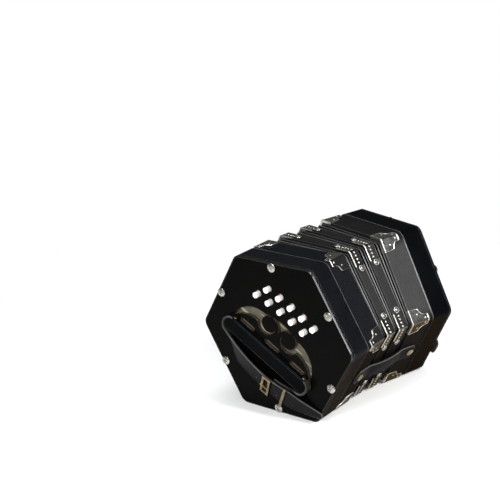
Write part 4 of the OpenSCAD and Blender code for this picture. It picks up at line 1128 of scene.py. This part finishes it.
def hand_strap(side):
    """Two lengths of leather from the ends of the rest, buckled together."""
    tail = TAILS[side]

    def on_plate(v):
        return hand(v.x, v.y, v.z + BOX / MM, side)

    wrap_run = [wrap_station(i) for i in range(WRAP_STEPS + 1)]
    long_run = wrap_run + [long_station(i) for i in range(1, LONG_STEPS + 1)]
    long_run += [tail_station(i, tail) for i in range(1, TAIL_STEPS + 1)]
    long_run += [tip_station(i, tail) for i in range(1, TIP_STEPS + 1)]
    short_run = [flipped(pair) for pair in wrap_run]
    short_run += [short_station(i) for i in range(1, SHORT_STEPS + 1)]
    long_part = strap(side + "_strap_long", long_run, on_plate, side + "_end")
    short_part = strap(side + "_strap_short", short_run, on_plate, side + "_end")
    punched_holes(long_part, side)
    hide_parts(side + "_hand_strap")
    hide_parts(side + "_hand_strap")


hand_strap("left")
hand_strap("right")

# -------- the strap that holds the bellows shut

BAND_SIDE = radians(-30)
BAND = 9 * MM
BAND_LIFT = 1.3 * MM
BAND_ARCH = 3 * MM
BAND_END = FRAME * 0.72
BAND_TIP = 5.4 * MM


def across_side(place, turns, half, lift):
    """The two edges of the band over one side of the hexagon, at a place along the fanned bellows."""
    out = FRAME_FLATS + lift
    edges = []
    for row in (half, -half):
        u = out * cos(BAND_SIDE) - row * sin(BAND_SIDE)
        v = out * sin(BAND_SIDE) + row * cos(BAND_SIDE)
        edges.append(fanned(place, -turns * BEND, 0, u, v) / MM)
    return tuple(edges)


def on_frame(reached, half):
    return across_side(along(FRAME_NEAR, reached, 3), 3, half, BAND_LIFT)


def on_folds(t):
    place = (FRAME_NEAR[0] * t, FRAME_NEAR[1] * t * t)
    return across_side(place, 3 * t, BAND, BAND_LIFT + BAND_ARCH * (1 - t * t))


def round_tip(degrees):
    a = radians(degrees)
    return on_frame(BAND_END - BAND_TIP + BAND_TIP * sin(a), max(0.8 * MM, BAND * cos(a)))


right_run = [on_frame(MM, BAND), on_frame(BAND_END - BAND_TIP, BAND)]
right_run += [round_tip(degrees) for degrees in (25, 45, 62, 76, 86, 90)]
left_run = [flipped(pair) for pair in reversed(right_run)]
middle_run = [on_folds(t / 4) for t in range(-3, 4)]
band = strap("bellows_band", left_run + middle_run + right_run, lambda v: v * MM, "left_end",
             thickness=2.0, count=110)
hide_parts("bellows_strap")

# -------- floor, light, camera


def floor():
    """Pale paper that keeps the shadow; further out it is plain white to the eye and in reflections."""
    n = Nodes("studio_floor", Roughness=0.75, Specular_IOR_Level=0.1)
    p = n.place()
    paper = n.noise(p, 900, 3, 0.6)
    n.out(Base_Color=n.mix(paper, grey(0.94), grey(0.96)), Normal=n.bump(paper, 0.05, 0.1))
    glow = n.add("Emission", {"Strength": 1.0})
    path = n.add("LightPath")
    seen = n.math("MAXIMUM", path.outputs["Is Camera Ray"], path.outputs["Is Glossy Ray"])
    seen = n.math("MAXIMUM", seen, path.outputs["Is Transmission Ray"])
    away = n.add("VectorMath", {0: p}, operation="LENGTH").outputs["Value"]
    fade = {"Value": away, "From Min": 0.22, "From Max": 0.50}
    far = n.add("MapRange", fade, interpolation_type="SMOOTHSTEP")
    white = n.times(seen, far.outputs[0])
    both = n.add("MixShader", {0: white, 1: n.shader.outputs[0], 2: glow.outputs[0]})
    n.put(n.tree.nodes["Material Output"].inputs["Surface"], both.outputs[0])
    size = 9.0
    corners = [(-size, -size, 0), (size, -size, 0), (size, size, 0), (-size, size, 0)]
    piece = mesh_object("studio_floor", corners, [(0, 1, 2, 3)], (n.owner,), smooth=False)
    piece.location.z = -0.2 * MM


def lamp(name, azimuth, elevation, distance, size, power, tint=(1, 1, 1)):
    """A softbox in that direction from the instrument, in degrees, turned to its middle."""
    data = bpy.data.lights.new(name, "AREA")
    data.shape = "RECTANGLE"
    data.size, data.size_y = size
    data.energy = power
    data.color = tint
    piece = linked(name, data)
    a = radians(azimuth)
    e = radians(elevation)
    away = Vector((cos(e) * cos(a), cos(e) * sin(a), sin(e)))
    piece.location = Vector((0, 0, FLATS)) + distance * away
    piece.rotation_mode = "QUATERNION"
    piece.rotation_quaternion = (-away).to_track_quat("-Z", "Y")


def surroundings():
    """A dim grey room, darker overhead, for the reflections."""
    n = Nodes("studio", bpy.data.worlds, "Background", Strength=1.0)
    height = n.dot(n.add("TexCoord").outputs["Generated"], (0, 0, 1))
    bpy.context.scene.world = n.out(Color=n.span(height, 0.02, 0.5, 0.30, 0.10))


def photo_camera():
    """The camera as solved from the photo's outlines: its place, and its turn as a rotation vector."""
    data = bpy.data.cameras.new("camera")
    camera = linked("camera", data)
    bpy.context.scene.camera = camera
    data.lens = 90.17
    data.sensor_width = 36.0
    data.clip_start = 0.05
    data.clip_end = 60
    turn = Vector((1.7743183979, -0.7650396861, 0.4692423878))
    look = Matrix.Rotation(turn.length, 3, turn.normalized())
    axes = Matrix((look[0], -Vector(look[1]), -Vector(look[2]))).transposed()
    camera.matrix_world = Matrix.Translation((-0.8824, -0.8183, 0.5679)) @ axes.to_4x4()


floor()
lamp("key_softbox", -74, 38, 2.3, (0.8, 0.9), 62)
lamp("fill_softbox", 190, 34, 2.4, (1.2, 1.0), 62, (0.98, 0.99, 1.0))
lamp("top_softbox", 60, 78, 2.4, (1.2, 1.2), 24)
lamp("front_softbox", -125, 19, 2.4, (0.5, 0.5), 9)
surroundings()
photo_camera()

bpy.context.scene.view_settings.view_transform = "Standard"
